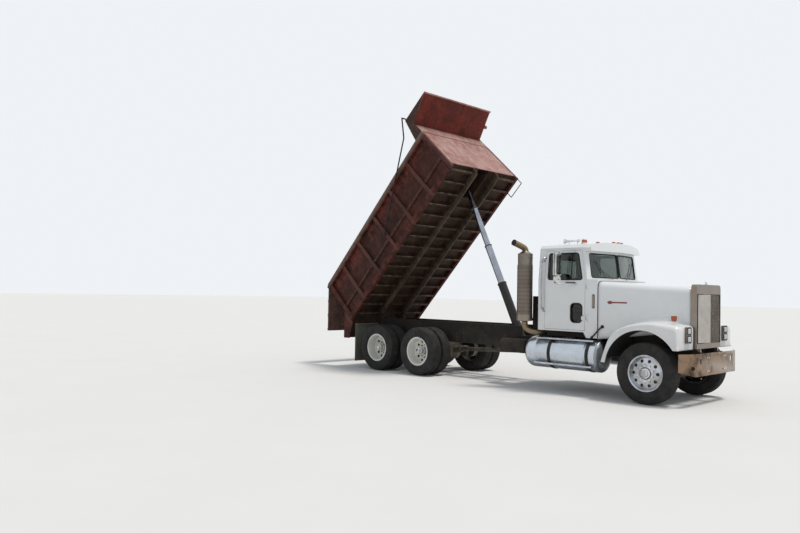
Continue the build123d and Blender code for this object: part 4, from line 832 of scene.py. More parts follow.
@dataclass
class Palette:
    """Every finish of the truck, built once."""

    places: Places
    made: dict[str, bpy.types.Material] = field(default_factory=dict)

    def build(self) -> None:
        """Builds all materials. The bed's finishes are told where its hinge lies in its own, level frame."""
        tilt, hinge_x, hinge_z = self.places.tip, self.places.hinge_x, self.places.hinge_z
        cos, sin = math.cos(tilt), math.sin(tilt)
        zero, start = hinge_z * cos - hinge_x * sin, hinge_x * cos + hinge_z * sin
        white = Paint("cab_white", (0.76, 0.77, 0.775), (0.71, 0.72, 0.72), dust_share=0.3, dust_low=0.9,
                      dust_high=2.0, coat=0.4, roughness=0.28)
        finishes = [
            white,
            # The hood's white, with painted shade on its faces that look down or inwards.
            replace(white, name="hood_white", lined=True),
            Paint("chassis_black", (0.009, 0.008, 0.0075), (0.02, 0.016, 0.012), dust_share=0.12,
                  dust_high=1.4, rust_share=0.3, roughness=0.62, gloss=0.22),
            # Wheel paint: its inner parts darkened as brake dust and painted shade.
            Paint("wheel_white", (0.86, 0.86, 0.82), (0.74, 0.73, 0.67), dust=(0.24, 0.20, 0.15),
                  dust_share=0.3, dust_high=3.0, rust_share=0.2, roughness=0.5, inboard=0.66),
            Paint("barrel_blue", (0.006, 0.0065, 0.010), (0.016, 0.014, 0.014), dust_share=0.08,
                  dust_high=3.0, roughness=0.4, coat=0.12, gloss=0.3),
            Paint("arm_grey", (0.010, 0.012, 0.016), (0.03, 0.027, 0.025), dust_share=0.05, dust_high=6.0,
                  rust_share=0.4, roughness=0.6, gloss=0.2),
            Paint("stripe_red", (0.22, 0.018, 0.014), (0.17, 0.016, 0.012), dust_share=0.1, roughness=0.3,
                  coat=0.4),
            Paint("trim_dark", (0.03, 0.029, 0.028), (0.05, 0.047, 0.043), dust_share=0.2, dust_high=3.5,
                  roughness=0.6),
            Paint("iron_dark", (0.016, 0.015, 0.014), (0.04, 0.033, 0.027), dust_share=0.35, dust_high=1.2,
                  rust_share=0.4, roughness=0.65),
            BedPaint("bed_side", (0.056, 0.015, 0.010), (0.118, 0.047, 0.036), (0.021, 0.009, 0.006), 0.4,
                     tilt, 0.6, zero, fresh_share=0.85, dust_share=0.75, start=start, framed=0.6),
            BedPaint("bed_gate", (0.075, 0.037, 0.028), (0.16, 0.092, 0.075), (0.040, 0.021, 0.016), 0.4,
                     tilt, 0.6),
            BedPaint("bed_shield", (0.17, 0.025, 0.016), (0.26, 0.065, 0.048), (0.064, 0.013, 0.009), 0.3,
                     tilt, 0.5),
            BedPaint("bed_wall", (0.40, 0.22, 0.195), (0.50, 0.37, 0.34), (0.24, 0.10, 0.08), 0.7, tilt,
                     0.4),
            BedPaint("bed_under", (0.048, 0.025, 0.015), (0.11, 0.062, 0.040), (0.022, 0.012, 0.008), 0.5,
                     tilt, 0.4),
            # Pale strips along the bearers' lower front edges.
            BedPaint("bearer_worn", (0.10, 0.062, 0.045), (0.34, 0.25, 0.21), (0.03, 0.018, 0.012), 0.9,
                     tilt, 0.7),
            BedPaint("bed_sill", (0.075, 0.056, 0.036), (0.16, 0.125, 0.09), (0.032, 0.023, 0.015), 0.5,
                     tilt, 0.5),
            # Polished metal: on the front wheels its inner parts darkened as brake dust and painted shade.
            Metal("polished", (0.52, 0.54, 0.575), (0.16, 0.157, 0.153), 0.1, 0.3, 0.75, dust_share=0.3,
                  inboard=1.0),
            Metal("chrome", (0.74, 0.75, 0.77), (0.36, 0.34, 0.32), 0.05, 0.16, 0.55, dust_share=0.15),
            # Bumper chrome: its dark reddish cloudy patches are painted reflections.
            Metal("bumper_chrome", (0.29, 0.20, 0.136), (0.055, 0.032, 0.022), 0.05, 0.16, 0.95,
                  dust_share=0.15, patch=(3.2, 0.47, 0.66)),
            # Mirror chrome: its strong dark cloudy patches are painted reflections.
            Metal("mirror_chrome", (0.60, 0.60, 0.60), (0.13, 0.13, 0.12), 0.06, 0.2, 0.9, dust_share=0.2),
            Metal("stainless", (0.28, 0.235, 0.20), (0.17, 0.135, 0.11), 0.25, 0.45, 0.5, (6, 6, 0.2)),
            Metal("tank_metal", (0.56, 0.61, 0.67), (0.40, 0.42, 0.45), 0.22, 0.4, 0.3, (0.15, 5, 5),
                  dust_share=0.15),
            Metal("grille_bright", (0.51, 0.48, 0.45), (0.33, 0.30, 0.26), 0.2, 0.4, 0.4, (6, 6, 0.2)),
            Metal("mirror_pane", (0.72, 0.75, 0.77), (0.60, 0.62, 0.63), 0.03, 0.08, 0.2, dust_share=0.1),
            # Tank front ends: a darker copy of the tank metal, painted shade on the domes.
            Metal("tank_end", (0.30, 0.32, 0.34), (0.17, 0.165, 0.16), 0.3, 0.5, 0.5, dust_share=0.4),
            Metal("shield_brown", (0.19, 0.16, 0.135), (0.10, 0.08, 0.065), 0.35, 0.55, 0.7, (4, 4, 0.5)),
            Metal("stack_metal", (0.24, 0.21, 0.185), (0.11, 0.09, 0.07), 0.3, 0.55, 0.8, (4, 4, 0.4)),
            Metal("pipe_tan", (0.30, 0.23, 0.15), (0.13, 0.09, 0.06), 0.4, 0.65, 0.7),
            Metal("rod_metal", (0.36, 0.39, 0.45), (0.16, 0.17, 0.20), 0.08, 0.22, 0.6),
            Metal("rod_dark", (0.06, 0.068, 0.09), (0.03, 0.032, 0.04), 0.15, 0.35, 0.6),
            Rubber("tyre_rubber"),
            Rubber("flap_rubber", (0.022, 0.022, 0.02), (0.10, 0.088, 0.068), 0.45),
            Rubber("gasket", (0.012, 0.012, 0.012), (0.06, 0.055, 0.05), 0.2),
            # Mud flap rubber: dusty, and made lighter as painted light.
            Rubber("mud_rubber", (0.125, 0.124, 0.10), (0.20, 0.175, 0.135), 0.45),
            Glass("window_glass", (0.45, 0.53, 0.50)),
            Glass("door_glass", (0.19, 0.21, 0.19)),
            Lens("amber_lens", (0.78, 0.15, 0.015)),
            Lens("deep_amber", (0.62, 0.10, 0.010)),
            Lens("red_lens", (0.62, 0.02, 0.015)),
            Lens("clear_lens", (0.74, 0.74, 0.76), 120.0),
            Fabric("seat_cloth", (0.055, 0.045, 0.04), (0.035, 0.03, 0.027)),
        ]
        self.made = {finish.name: finish.material() for finish in finishes}
        log.info("palette: %d materials", len(self.made))

    def __getitem__(self, name: str) -> bpy.types.Material:
        """The material of a finish."""
        return self.made[name]

    def dress(self, node: str, name: str) -> None:
        """Gives a node that stays as it is its finish.

        Args:
            node: the node's name.
            name: the finish's name.
        """
        mesh = frame["nodes"][node].data
        mesh.materials.clear()
        mesh.materials.append(self[name])


@dataclass(frozen=True)
class Studio:
    """Camera at the photograph's angle, pale floor and plain soft light."""

    camera_from_axle: tuple[float, float, float] = (6.0962, -13.2967, 1.9124)
    yaw: float = 0.791493
    pitch: float = 0.035125
    roll: float = 0.019444
    focal_px: float = 724.49
    image_width_px: float = 800.0
    sensor_mm: float = 36.0
    floor_half: float = 160.0
    sky: Colour = (0.86, 0.89, 0.92)
    ground: Colour = (0.72, 0.71, 0.69)
    sun_way: tuple[float, float, float] = (-0.30, -0.16, -0.94)

    def build(self, places: Places) -> None:
        """Makes camera, world, sun and floor.

        Args:
            places: the truck's places, for the front axle.
        """
        self.place_camera(places)
        self.light_world()
        self.lay_floor()
        bpy.context.scene.view_settings.view_transform = "Standard"
        log.info("studio: camera, world, sun and floor")

    def place_camera(self, places: Places) -> None:
        """Stands the camera where the photograph was taken, by yaw, pitch and roll.

        Args:
            places: the truck's places, for its front axle.
        """
        forward = np.array([-math.sin(self.yaw) * math.cos(self.pitch),
                            math.cos(self.yaw) * math.cos(self.pitch), math.sin(self.pitch)])
        level = np.array([math.cos(self.yaw), math.sin(self.yaw), 0.0])
        above = np.cross(level, forward)
        right = level * math.cos(self.roll) + above * math.sin(self.roll)
        up = -level * math.sin(self.roll) + above * math.cos(self.roll)
        data = bpy.data.cameras.new("photo_camera")
        data.sensor_width = self.sensor_mm
        data.lens = self.focal_px / self.image_width_px * self.sensor_mm
        data.clip_end = 500.0
        camera = bpy.data.objects.new("photo_camera", data)
        bpy.context.scene.collection.objects.link(camera)
        matrix = np.eye(4)
        matrix[:3, 0], matrix[:3, 1], matrix[:3, 2] = right, up, -forward
        matrix[:3, 3] = np.array(self.camera_from_axle) + (places.axle_x, 0, 0)
        camera.matrix_world = Matrix(matrix.tolist())
        bpy.context.scene.camera = camera

    def light_world(self) -> None:
        """A plain pale surround and one wide soft sun from above, from the front and the far side."""
        world = bpy.data.worlds.new("studio")
        bpy.context.scene.world = world
        world.use_nodes = True
        tree = world.node_tree
        tree.nodes["Background"].inputs[0].default_value = (0.80, 0.86, 0.93, 1.0)
        tree.nodes["Background"].inputs[1].default_value = 0.62
        seen, path, either, all_three, mix = (tree.nodes.new(f"ShaderNode{kind}") for kind in (
            "Background", "LightPath", "Math", "Math", "MixShader"))
        seen.inputs[0].default_value = (*self.sky, 1.0)
        either.operation = all_three.operation = "MAXIMUM"
        link = tree.links.new
        link(path.outputs["Is Camera Ray"], either.inputs[0])
        link(path.outputs["Is Glossy Ray"], either.inputs[1])
        link(either.outputs[0], all_three.inputs[0])
        link(path.outputs["Is Transmission Ray"], all_three.inputs[1])
        link(all_three.outputs[0], mix.inputs[0])
        link(tree.nodes["Background"].outputs[0], mix.inputs[1])
        link(seen.outputs[0], mix.inputs[2])
        link(mix.outputs[0], tree.nodes["World Output"].inputs[0])
        sun = bpy.data.lights.new("sun", "SUN")
        sun.energy, sun.angle, sun.color = 2.2, math.radians(12), (1.0, 0.965, 0.92)
        lamp = bpy.data.objects.new("sun", sun)
        lamp.rotation_euler = Vector(self.sun_way).to_track_quat("-Z", "Y").to_euler()
        bpy.context.scene.collection.objects.link(lamp)

    def lay_floor(self) -> None:
        """One large pale floor."""
        half = self.floor_half
        mesh = bpy.data.meshes.new("floor")
        corners = [(-half, -half, 0), (half, -half, 0), (half, half, 0), (-half, half, 0)]
        mesh.from_pydata(corners, [], [(0, 1, 2, 3)])
        floor = bpy.data.objects.new("floor", mesh)
        bpy.context.scene.collection.objects.link(floor)
        shader = Shader("floor_pale")
        shade = tuple(value * 0.94 for value in self.ground)
        shader.set(Base_Color=shader.blend(shader.noise(0.6), self.ground, shade), Roughness=0.9)
        mesh.materials.append(shader.material)


@dataclass
class Dress:
    """A sub-assembly's dress. Its surfaces are drawn from the front axle along X."""

    places: Places
    palette: Palette

    def piece(self, name: str, parts: Surface | Sequence[Surface], finish: str, body: str = "chassis",
              shape: Shape = Shape.CREASED, both: bool = False, **how: object) -> bpy.types.Object:
        """Makes a piece and moves it from the front axle to its place.

        Args:
            name: the piece's name.
            parts: its surface, or several to join.
            finish: the finish by its name in the palette.
            body: the body it rides on.
            shape: how it is smoothed.
            both: adds the reflection on the truck's other side.
            how: the bevel, wall, slot and replaces of build.

        Returns:
            The piece's object.
        """
        surface = parts if isinstance(parts, Surface) else Surface.joined(parts)
        if both:
            surface = surface.both_sides()
        placed = surface.copies(np.array([(self.places.axle_x, 0.0, 0.0)]))
        return build(name, placed, self.palette[finish], body, shape, **how)

    def soft(self, node: str, finish: str, bevel: float) -> None:
        """Stands a softened copy of a node in its place, with a finish and a bevel."""
        soften(node, self.palette[finish], bevel)


@dataclass
class WheelDress(Dress):
    """Tyres with ribbed tread, rims with nuts and hubs, for the front wheels and the twin wheels."""

    tyre_radius: float = 0.552
    tread_half: float = 0.111
    bead_radius: float = 0.314
    groove_depth: float = 0.011
    grooves: tuple[float, ...] = (-0.066, -0.023, 0.023, 0.066)
    steps: int = 168
    waves: int = 42
    front_y: float = 1.017
    outer_y: float = 1.097
    inner_y: float = 0.767
    nut_ring: float = 0.143
    nut_count: int = 10
    nut: Profile = ((0, 0), (0, 0.021), (0.006, 0.021), (0.006, 0.0165), (0.024, 0.0155), (0.026, 0.008),
                    (0.034, 0.007), (0.036, 0))
    washer: Profile = ((0, 0), (0, 0.028), (0.002, 0.028), (0.0025, 0))
    axle_places: tuple[float, float] = (-5.528, -6.898)

    def tyre(self, x: float, y: float) -> Surface:
        """One tyre: its radius over a ring of steps across, less grooves that wander round the tread.

        Args:
            x: the wheel's place along the truck.
            y: the tyre's middle.

        Returns:
            A closed surface.
        """
        tread = np.linspace(-self.tread_half, self.tread_half, 33)
        crown = self.tyre_radius - 0.006 * (tread / self.tread_half) ** 4 - 0.0005
        side = np.array([(0.114, 0.543), (0.121, 0.531), (0.127, 0.512), (0.1335, 0.487), (0.1385, 0.455),
                         (0.139, 0.43), (0.1375, 0.40), (0.1325, 0.375), (0.1325, 0.372), (0.124, 0.352),
                         (0.117, 0.338), (0.104, 0.333), (0.1, self.bead_radius)])
        across = np.concatenate([-side[::-1, 0], tread, side[:, 0]])[None, :]
        radius = np.concatenate([side[::-1, 1], crown, side[:, 1]])
        angle = np.linspace(0, 2 * np.pi, self.steps, endpoint=False)[:, None]
        wave, off = np.sin(self.waves * angle), np.abs(across)
        cut = np.zeros((self.steps, off.size))
        for groove in self.grooves:
            cut = np.maximum(cut, np.clip(1.6 - np.abs(across - groove - 0.004 * wave) / 0.0052, 0, 1))
        notch = (np.abs(wave) > 0.93) & (off > self.tread_half - 0.012) & (off < 0.125)
        cut = np.where(off < self.tread_half - 0.004, cut, np.where(notch, 0.5, 0.0))
        depth = radius - self.groove_depth * cut
        points = np.stack([x + depth * np.cos(angle), np.broadcast_to(y + across, depth.shape),
                           self.places.tyre_radius + depth * np.sin(angle)], axis=-1)
        return grid(points, close_rows=True, close_columns=True)

    def on_axle(self, profile: Profile, x: float, side: Side, y: float = 0.0, segments: int = 48) -> Surface:
        """A turned shape about a wheel's axis, its distances counted outward from y."""
        return lathe(profile, (x, side.value * y, self.places.tyre_radius), (0, side.value, 0), segments)

    def around(self, profile: Profile, x: float, face_y: float, side: Side, sides: int) -> Surface:
        """A turned shape at each stud of a wheel: nuts with domed studs, or the dark washer rings under them,
        which are also painted shadows of the nuts.

        Args:
            profile: the shape's profile.
            x: the wheel's place along the truck.
            face_y: distance of the wheel's face from the truck's middle.
            side: the side of the truck.
            sides: the steps of one turn.

        Returns:
            The ring of shapes.
        """
        angle = 2 * np.pi * (np.arange(self.nut_count) + 0.5) / self.nut_count
        spots = np.stack([x + self.nut_ring * np.cos(angle), np.full(self.nut_count, side.value * face_y),
                          self.places.tyre_radius + self.nut_ring * np.sin(angle)], axis=-1)
        return lathe(profile, (0, 0, 0), (0, side.value, 0), sides).copies(spots)

    def build(self) -> None:
        """Makes all tyres and the dress of all wheels."""
        for side in Side:
            word = side.word
            self.piece(f"tyre_front_{word}_worn", self.tyre(0.0, side.value * self.front_y), "tyre_rubber",
                       f"front_wheel_{word}", slot="tyre_rubber", replaces=[f"tyre_front_{word}"])
            self.front_wheel(side)
            for axle, x in zip(("middle", "rear"), self.axle_places):
                pair = [self.tyre(x, side.value * y) for y in (self.inner_y, self.outer_y)]
                self.piece(f"tyres_{axle}_{word}_worn", pair, "tyre_rubber", f"{axle}_wheels_{word}",
                           slot="tyre_rubber", replaces=[f"tyres_{axle}_{word}"])
                self.twin_wheel(side, axle, x)

    def front_wheel(self, side: Side) -> None:
        """Polished front wheel: the node itself, a dark drum, a rim lip, nuts on dark washer rings, a dark disc
        and a stepped hub cap; the rings and disc are also painted shadows round the nuts and the cap.

        Args:
            side: left or right.
        """
        word, body = side.word, f"front_wheel_{side.word}"
        self.palette.dress(f"wheel_front_{word}", "polished")
        drum = self.on_axle([(0.93, 0.247), (1.045, 0.25), (1.066, 0.236), (1.072, 0.2), (1.074, 0.11)], 0.0,
                            side, segments=64)
        # A dark disc under the hub cap: painted shadow.
        shadow = self.on_axle([(1.112, 0.0), (1.112, 0.108), (1.1155, 0.11), (1.118, 0.105), (1.118, 0.0)],
                              0.0, side)
        # Dark washer rings under the nuts, also painted shadows of the nuts.
        nut_shadow_washers = self.around(self.washer, 0.0, self.front_y + 0.0955, side, 16)
        lip = self.on_axle([(0.098, 0.3), (0.113, 0.306), (0.1165, 0.318), (0.115, 0.3285), (0.109, 0.3315),
                            (0.105, 0.328), (0.1085, 0.319), (0.105, 0.311), (0.09, 0.306)], 0.0, side,
                           self.front_y, 96)
        cap = self.on_axle([(1.118, 0.0), (1.118, 0.092), (1.128, 0.094), (1.134, 0.088), (1.134, 0.074),
                            (1.176, 0.071), (1.182, 0.066), (1.182, 0.05), (1.187, 0.048), (1.19, 0.0)],
                           0.0, side)
        nuts = self.around(self.nut, 0.0, self.front_y + 0.096, side, 6)
        self.piece(f"front_drum_{word}", drum, "iron_dark", body, Shape.ROUND, wall=0.004, slot="axle_iron")
        self.piece(f"front_washers_{word}", [shadow, nut_shadow_washers], "iron_dark", body, slot="axle_iron")
        self.piece(f"front_rim_lip_{word}", lip, "polished", body, Shape.ROUND, slot="polished")
        self.piece(f"front_hub_cap_{word}", cap, "chrome", body, slot="polished")
        self.piece(f"front_nuts_{word}", nuts, "chrome", body, slot="polished")

    def twin_wheel(self, side: Side, axle: str, x: float) -> None:
        """Painted twin wheel: the node itself, a rim lip, a bright hub, nuts and a dark ring between the discs,
        painted shade that shows through the hand holes.

        Args:
            side: left or right.
            axle: the axle's name in node and body.
            x: the axle's place from the front axle.
        """
        word, body = side.word, f"{axle}_wheels_{side.word}"
        self.palette.dress(f"wheels_{axle}_{word}", "wheel_white")
        lip = self.on_axle([(0.098, 0.3), (0.113, 0.305), (0.1165, 0.317), (0.115, 0.328), (0.109, 0.331),
                            (0.105, 0.327), (0.1085, 0.318), (0.105, 0.31), (0.09, 0.306)], x, side,
                           self.outer_y, 96)
        hub = self.on_axle([(0.97, 0.0), (0.97, 0.089), (1.012, 0.084), (1.03, 0.078), (1.03, 0.07),
                            (1.07, 0.066), (1.1, 0.058), (1.105, 0.074), (1.118, 0.074), (1.122, 0.055),
                            (1.16, 0.04), (1.164, 0.0)], x, side)
        face_y = (self.outer_y + self.inner_y) / 2
        nuts = self.around(self.nut, x, face_y + 0.012, side, 6)
        # A dark ring between the two discs: painted shade seen through the hand holes.
        backs = self.on_axle([(-0.002, 0.172), (-0.002, 0.278), (0.002, 0.278), (0.002, 0.172)], x, side,
                             face_y, 64)
        self.piece(f"{axle}_rim_lip_{word}", lip, "wheel_white", body, Shape.ROUND, slot="white_steel")
        # Bright chrome hub; its dark patches are painted reflections.
        self.piece(f"{axle}_hub_{word}", hub, "mirror_chrome", body, slot="axle_iron")
        self.piece(f"{axle}_nuts_{word}", nuts, "shield_brown", body, slot="axle_iron")
        self.piece(f"{axle}_backs_{word}", backs, "gasket", body, slot="axle_iron")


@dataclass
class HoodDress(Dress):
    """Tilting hood with flowing fenders, grille, surround, headlamps, stripe, side lamp and latch straps."""

    rear_x: float = -1.035
    front_x: float = 0.56
    rear_half: float = 0.96
    front_half: float = 0.5
    rear_top: float = 2.2
    front_top: float = 2.11
    rear_low: float = 1.09
    front_low: float = 1.30
    corner: float = 0.12
    crown_fall: float = 0.011
    fender_y: float = 1.2
    arch: tuple[float, float, float] = (-0.055, 0.61, 0.7)
    nose_x: float = 0.612
    nose_low: float = 0.99
    rise: float = 0.012

    def half_at(self, x: Array | float) -> Array | float:
        """The hood's half width at a place along it: a straight taper."""
        share = (x - self.rear_x) / (self.front_x - self.rear_x)
        return self.rear_half + share * (self.front_half - self.rear_half)

    def upper(self) -> Surface:
        """Hood top and sides: sections along X, each a crowned top, a quarter round and a straight side."""
        stations = np.linspace(self.rear_x, self.front_x, 25)
        share = (stations - self.rear_x) / (self.front_x - self.rear_x)
        half = self.half_at(stations)
        top = self.rear_top + share * (self.front_top - self.rear_top)
        low = self.rear_low + share * (self.front_low - self.rear_low)
        shoulder = top - self.crown_fall - self.corner
        flat = np.linspace(0, 1, 9)[:, None] * (half - self.corner)
        turn = np.radians(np.linspace(90, 0, 10))[1:, None]
        fall = np.linspace(0, 1, 7)[1:, None]
        y = np.concatenate([flat, half - self.corner + self.corner * np.cos(turn),
                            np.broadcast_to(half, (len(fall), len(half)))])
        z = np.concatenate([top - 0.012 * (flat / half) ** 2, shoulder + self.corner * np.sin(turn),
                            shoulder * (1 - fall) + low * fall])
        left = np.stack([np.broadcast_to(stations, y.shape), y, z], axis=-1)
        return grid(np.concatenate([left[:0:-1] * np.array([1.0, -1.0, 1.0]), left]))

    def fender_lines(self) -> tuple[Array, Array]:
        """The crown line over the wheel, and the arch's edge and bottom edge before it, matched in steps.

        Returns:
            Two lines of places along X and Z with the same number of points.
        """
        crown = smooth_path([(-0.868, 0.69), (-0.80, 0.90), (-0.70, 1.14), (-0.56, 1.285), (-0.36, 1.378),
                             (-0.13, 1.432), (0.10, 1.447), (0.32, 1.44), (0.50, 1.424), (0.585, 1.40),
                             (0.611, 1.35), (self.nose_x, 1.25), (self.nose_x, 1.12),
                             (self.nose_x, self.nose_low)], 96)
        length = np.concatenate([[0], np.cumsum(np.linalg.norm(np.diff(crown, axis=0), axis=1))])
        centre_x, centre_z, radius = self.arch
        edge = arc((centre_x, centre_z), radius, 173.4, 32.9, 84)
        before = np.linspace(edge[-1, 0], self.nose_x, 13)[1:]
        edge = np.concatenate([edge, np.column_stack([before, np.full(12, self.nose_low)])])
        run, share = np.linspace(0, 1, len(edge)), (length / length[-1]) ** 1.06
        return crown, np.stack([np.interp(share, run, edge[:, axis]) for axis in (0, 1)], axis=-1)

    def fender(self) -> Surface:
        """One fender: rays from the arch edge to the crown line, then a rounded edge, a shelf and a fillet.

        Along the first way each ray joins a point of the arch to a point of the crown. Along the second the
        outward share falls from one at the outer face to nothing at the hood's side.

        Returns:
            The left fender.
        """
        crown, edge = self.fender_lines()
        tangent = np.gradient(crown, axis=0)
        tangent /= np.linalg.norm(tangent, axis=1)[:, None]
        normal = np.stack([-tangent[:, 1], tangent[:, 0]], axis=-1)
        inner = np.maximum(self.half_at(np.clip(crown[:, 0], self.rear_x, self.front_x)), 0.47)[:, None]
        width = self.fender_y - inner
        curved = 1 - np.clip((crown[:, 0] - 0.3) / 0.28, 0, 1)[:, None]
        ray = crown - edge
        reach = np.maximum(np.linalg.norm(ray, axis=1)[:, None], 1e-6)
        unit = ray / reach
        edge_round = np.minimum(0.06 + 0.05 * np.clip((crown[:, 0] - 0.2) / 0.3, 0, 1)[:, None], reach)
        body = np.maximum(reach - edge_round, 0.002)
        face_y = self.fender_y - 0.01
        quarter = np.radians(np.linspace(0, 90, 8))[1:]
        rows = [(edge + unit * np.minimum(step, body), self.fender_y + out)
                for step, out in ((0.0, -0.014), (0.0, -0.004), (0.004, 0.0), (0.02, 0.0), (0.034, -0.005),
                                  (0.048, -0.01))]
        rows += [(edge + unit * np.maximum(np.minimum(0.052, body), body * part), face_y)
                 for part in (0.35, 0.65, 0.85, 1.0)]
        rows += [(crown - unit * edge_round * (1 - np.sin(turn)), face_y - edge_round * (1 - np.cos(turn)))
                 for turn in quarter]
        fillet = np.minimum(0.09, width * 0.3) * curved
        shelf = width - 0.01 - edge_round - fillet
        rows += [(crown + normal * self.rise * part * curved, inner + fillet + shelf * (1 - part))
                 for part in np.linspace(0.15, 1, 8)]
        rows += [(crown + normal * (self.rise * curved + fillet * (1 - np.cos(turn))),
                  inner + fillet * (1 - np.sin(turn))) for turn in quarter]
        points = [np.column_stack([flat[:, 0], np.broadcast_to(y, (len(crown), 1)), flat[:, 1]])
                  for flat, y in rows]
        return grid(np.stack(points))

    def on_side(self, x: float, z: float, out: float = 0.0) -> tuple[float, float, float]:
        """A place on the hood's right side, a little out from it."""
        return (x, -float(self.half_at(x)) - out, z)

    def build(self) -> None:
        """Builds all pieces of the hood."""
        # Hood and fenders in white, with painted shade under and behind the panels.
        self.piece("hood_flowing", [self.upper(), self.fender().both_sides()], "hood_white", "hood",
                   Shape.ROUND, wall=0.004, slot="cab_white", replaces=["hood_shell"])
        self.grille()
        self.headlamps()
        self.side_trim()
        turn = np.radians(np.linspace(165, 38, 49))[:, None]
        centre_x, centre_z, radius = self.arch
        liner = np.broadcast_arrays(centre_x + (radius - 0.002) * np.cos(turn),
                                    np.linspace(0.5, 1.188, 5)[None],
                                    centre_z + (radius - 0.002) * np.sin(turn))
        self.piece("wheel_liners", grid(np.stack(liner, axis=-1)), "gasket", "hood", Shape.ROUND, True,
                   slot="cab_white")

    def grille(self) -> None:
        """Surround with its deep brushed sides and an insert of fine upright ribs that meet at a ridge."""
        self.soft("grille_surround", "stainless", 0.008)
        half, low, high, count = 0.489, 1.101, 1.971, 31
        pitch = half / count
        slat = [(0.0, 0.0), (-0.006, 0.0035 - pitch), (-0.0105, 0.0035 - pitch), (-0.0045, 0.0)]
        slats = [prism(slat, (0.652 + 0.042 * (1 + y / half), y, low), (1, 0, 0), (0, 1, 0), high - low)
                 for y in -0.0015 - pitch * np.arange(count)]
        self.piece("grille_slats", slats, "grille_bright", "hood", both=True, slot="stainless",
                   replaces=["grille_insert"])
        ties = [block((0.628, -half, z), (0.64, half, z + 0.024)) for z in (low, 1.524, high - 0.024)]
        self.piece("grille_ties", ties, "stainless", "hood", slot="stainless")
        core = block((0.585, -half, low), (0.6, half, high))
        self.piece("grille_core", core, "gasket", "hood", slot="stainless")
        rim = [pipe([(0.668, y, 1.1), (0.668, y, 1.972)], 0.006, 8) for y in (-0.49, 0.49)]
        rim += [pipe([(0.668, -0.49, z), (0.668, 0.49, z)], 0.006, 8) for z in (1.1, 1.972)]
        self.piece("grille_rim", rim, "gasket", "hood", slot="stainless")
        nose = lathe([(0, 0.0), (0, 0.02), (0.012, 0.024), (0.03, 0.014), (0.04, 0.012), (0.05, 0.02),
                      (0.062, 0.018), (0.07, 0.0)], (0.61, 0, 2.148), (0, 0, 1), 20)
        wings = prism([(-0.03, 0.0), (0.0, 0.006), (0.03, 0.0), (0.0, -0.006)], (0.61, -0.05, 2.168),
                      (1, 0, 0), (0, 0, 1), -0.1)
        self.piece("hood_ornament", [nose, wings], "chrome", "hood", Shape.ROUND, slot="stainless")

    def headlamps(self) -> None:
        """Stacked square lamps: dark bezels and rims, dished reflectors and ribbed lenses."""
        self.soft("headlamps", "shield_brown", 0.005)
        bowls, lenses, rims = [], [], []
        outline = rounded(0.15, 0.108, 0.02)
        for z in (1.182, 1.323):
            origin = (0.638, 0.795, z)
            bowls.append(stacked(outline, ((0.008, 1.0), (0.003, 0.85), (0.0008, 0.55),
                                           (0.0005, 0.01)), origin))
            lenses.append(stacked(outline, ((0.004, 0.9), (0.014, 0.9), (0.02, 0.78), (0.023, 0.5),
                                            (0.023, 0.01)), origin))
            path = np.column_stack([np.zeros(len(outline)), outline * (1.02, 1.03)])
            rims.append(swept(path + (0.649, 0.795, z), ring(0.0085), True, (1, 0, 0)))
        for name, parts, finish in (("bowls", bowls, "chrome"), ("lenses", lenses, "clear_lens"),
                                    ("rims", rims, "gasket")):
            self.piece(f"lamp_{name}", parts, finish, "hood", Shape.ROUND, True, slot="lamp_bezel")

    def side_trim(self) -> None:
        """Rear seam, arrow stripe, shield-shaped side lamps and rubber latches."""
        along = np.array([1.0, (self.rear_half - self.front_half) / (self.front_x - self.rear_x), 0.0])
        along /= np.linalg.norm(along)
        seam = [(-0.962, 1.11), (-0.962, 1.6), (-0.962, 2.03), *arc((-0.842, 2.07), 0.12, 180, 90, 8)[1:],
                (0.0, 2.2)]
        path = np.array([(-1.039, y, z) for y, z in seam])
        whole = np.concatenate([path, path[-2::-1] * np.array([1, -1, 1])])
        self.piece("hood_seam", swept(whole, ring(0.006), up=(1, 0, 0)), "gasket", slot="cab_white")
        arrow = [(0.0, -0.012), (0.28, -0.012), (0.28, 0.015), (0.0, 0.015), (-0.012, 0.03), (-0.05, 0.034),
                 (-0.085, 0.0015), (-0.05, -0.031), (-0.012, -0.027)]
        stripe = prism(arrow, self.on_side(-0.79, 1.79, 0.0005), along, (0, 0, 1), 0.002)
        self.piece("hood_stripes", stripe, "stripe_red", "hood", both=True, slot="cab_white")
        shield = np.array([(-0.055, 0.05), (0.055, 0.05), (0.055, -0.01), (0.035, -0.05), (0.0, -0.072),
                           (-0.035, -0.05), (-0.055, -0.01)])
        for name, finish, size, depth, bevel, slot in (
                ("bases", "chrome", 1.15, 0.012, 0.003, "cab_white"),
                ("lenses", "deep_amber", 0.95, 0.03, 0.006, "amber_lens")):
            plate = prism(shield * size, self.on_side(0.28, 1.53), along, (0, 0, 1), depth)
            self.piece(f"side_lamp_{name}", plate, finish, "hood", both=True, bevel=bevel, slot=slot)
        strap = pipe([(-1.14, -1.002, 1.125), (-1.08, -1.015, 1.17), (-1.0, -0.99, 1.27),
                      (-0.955, -0.955, 1.325)], 0.014, 10, 20)
        knob = lathe([(0, 0.0), (0, 0.03), (0.02, 0.032), (0.028, 0.02), (0.03, 0.0)], (-0.95, -0.93, 1.33),
                     (0, -1, 0), 20)
        cup = lathe([(0, 0.0), (0, 0.024), (0.03, 0.024), (0.04, 0.0)], (-1.14, -0.98, 1.12), (0, -1, 0), 16)
        self.piece("latch_straps", [strap, knob, cup], "flap_rubber", "chassis", Shape.ROUND, True,
                   slot="flap_rubber")


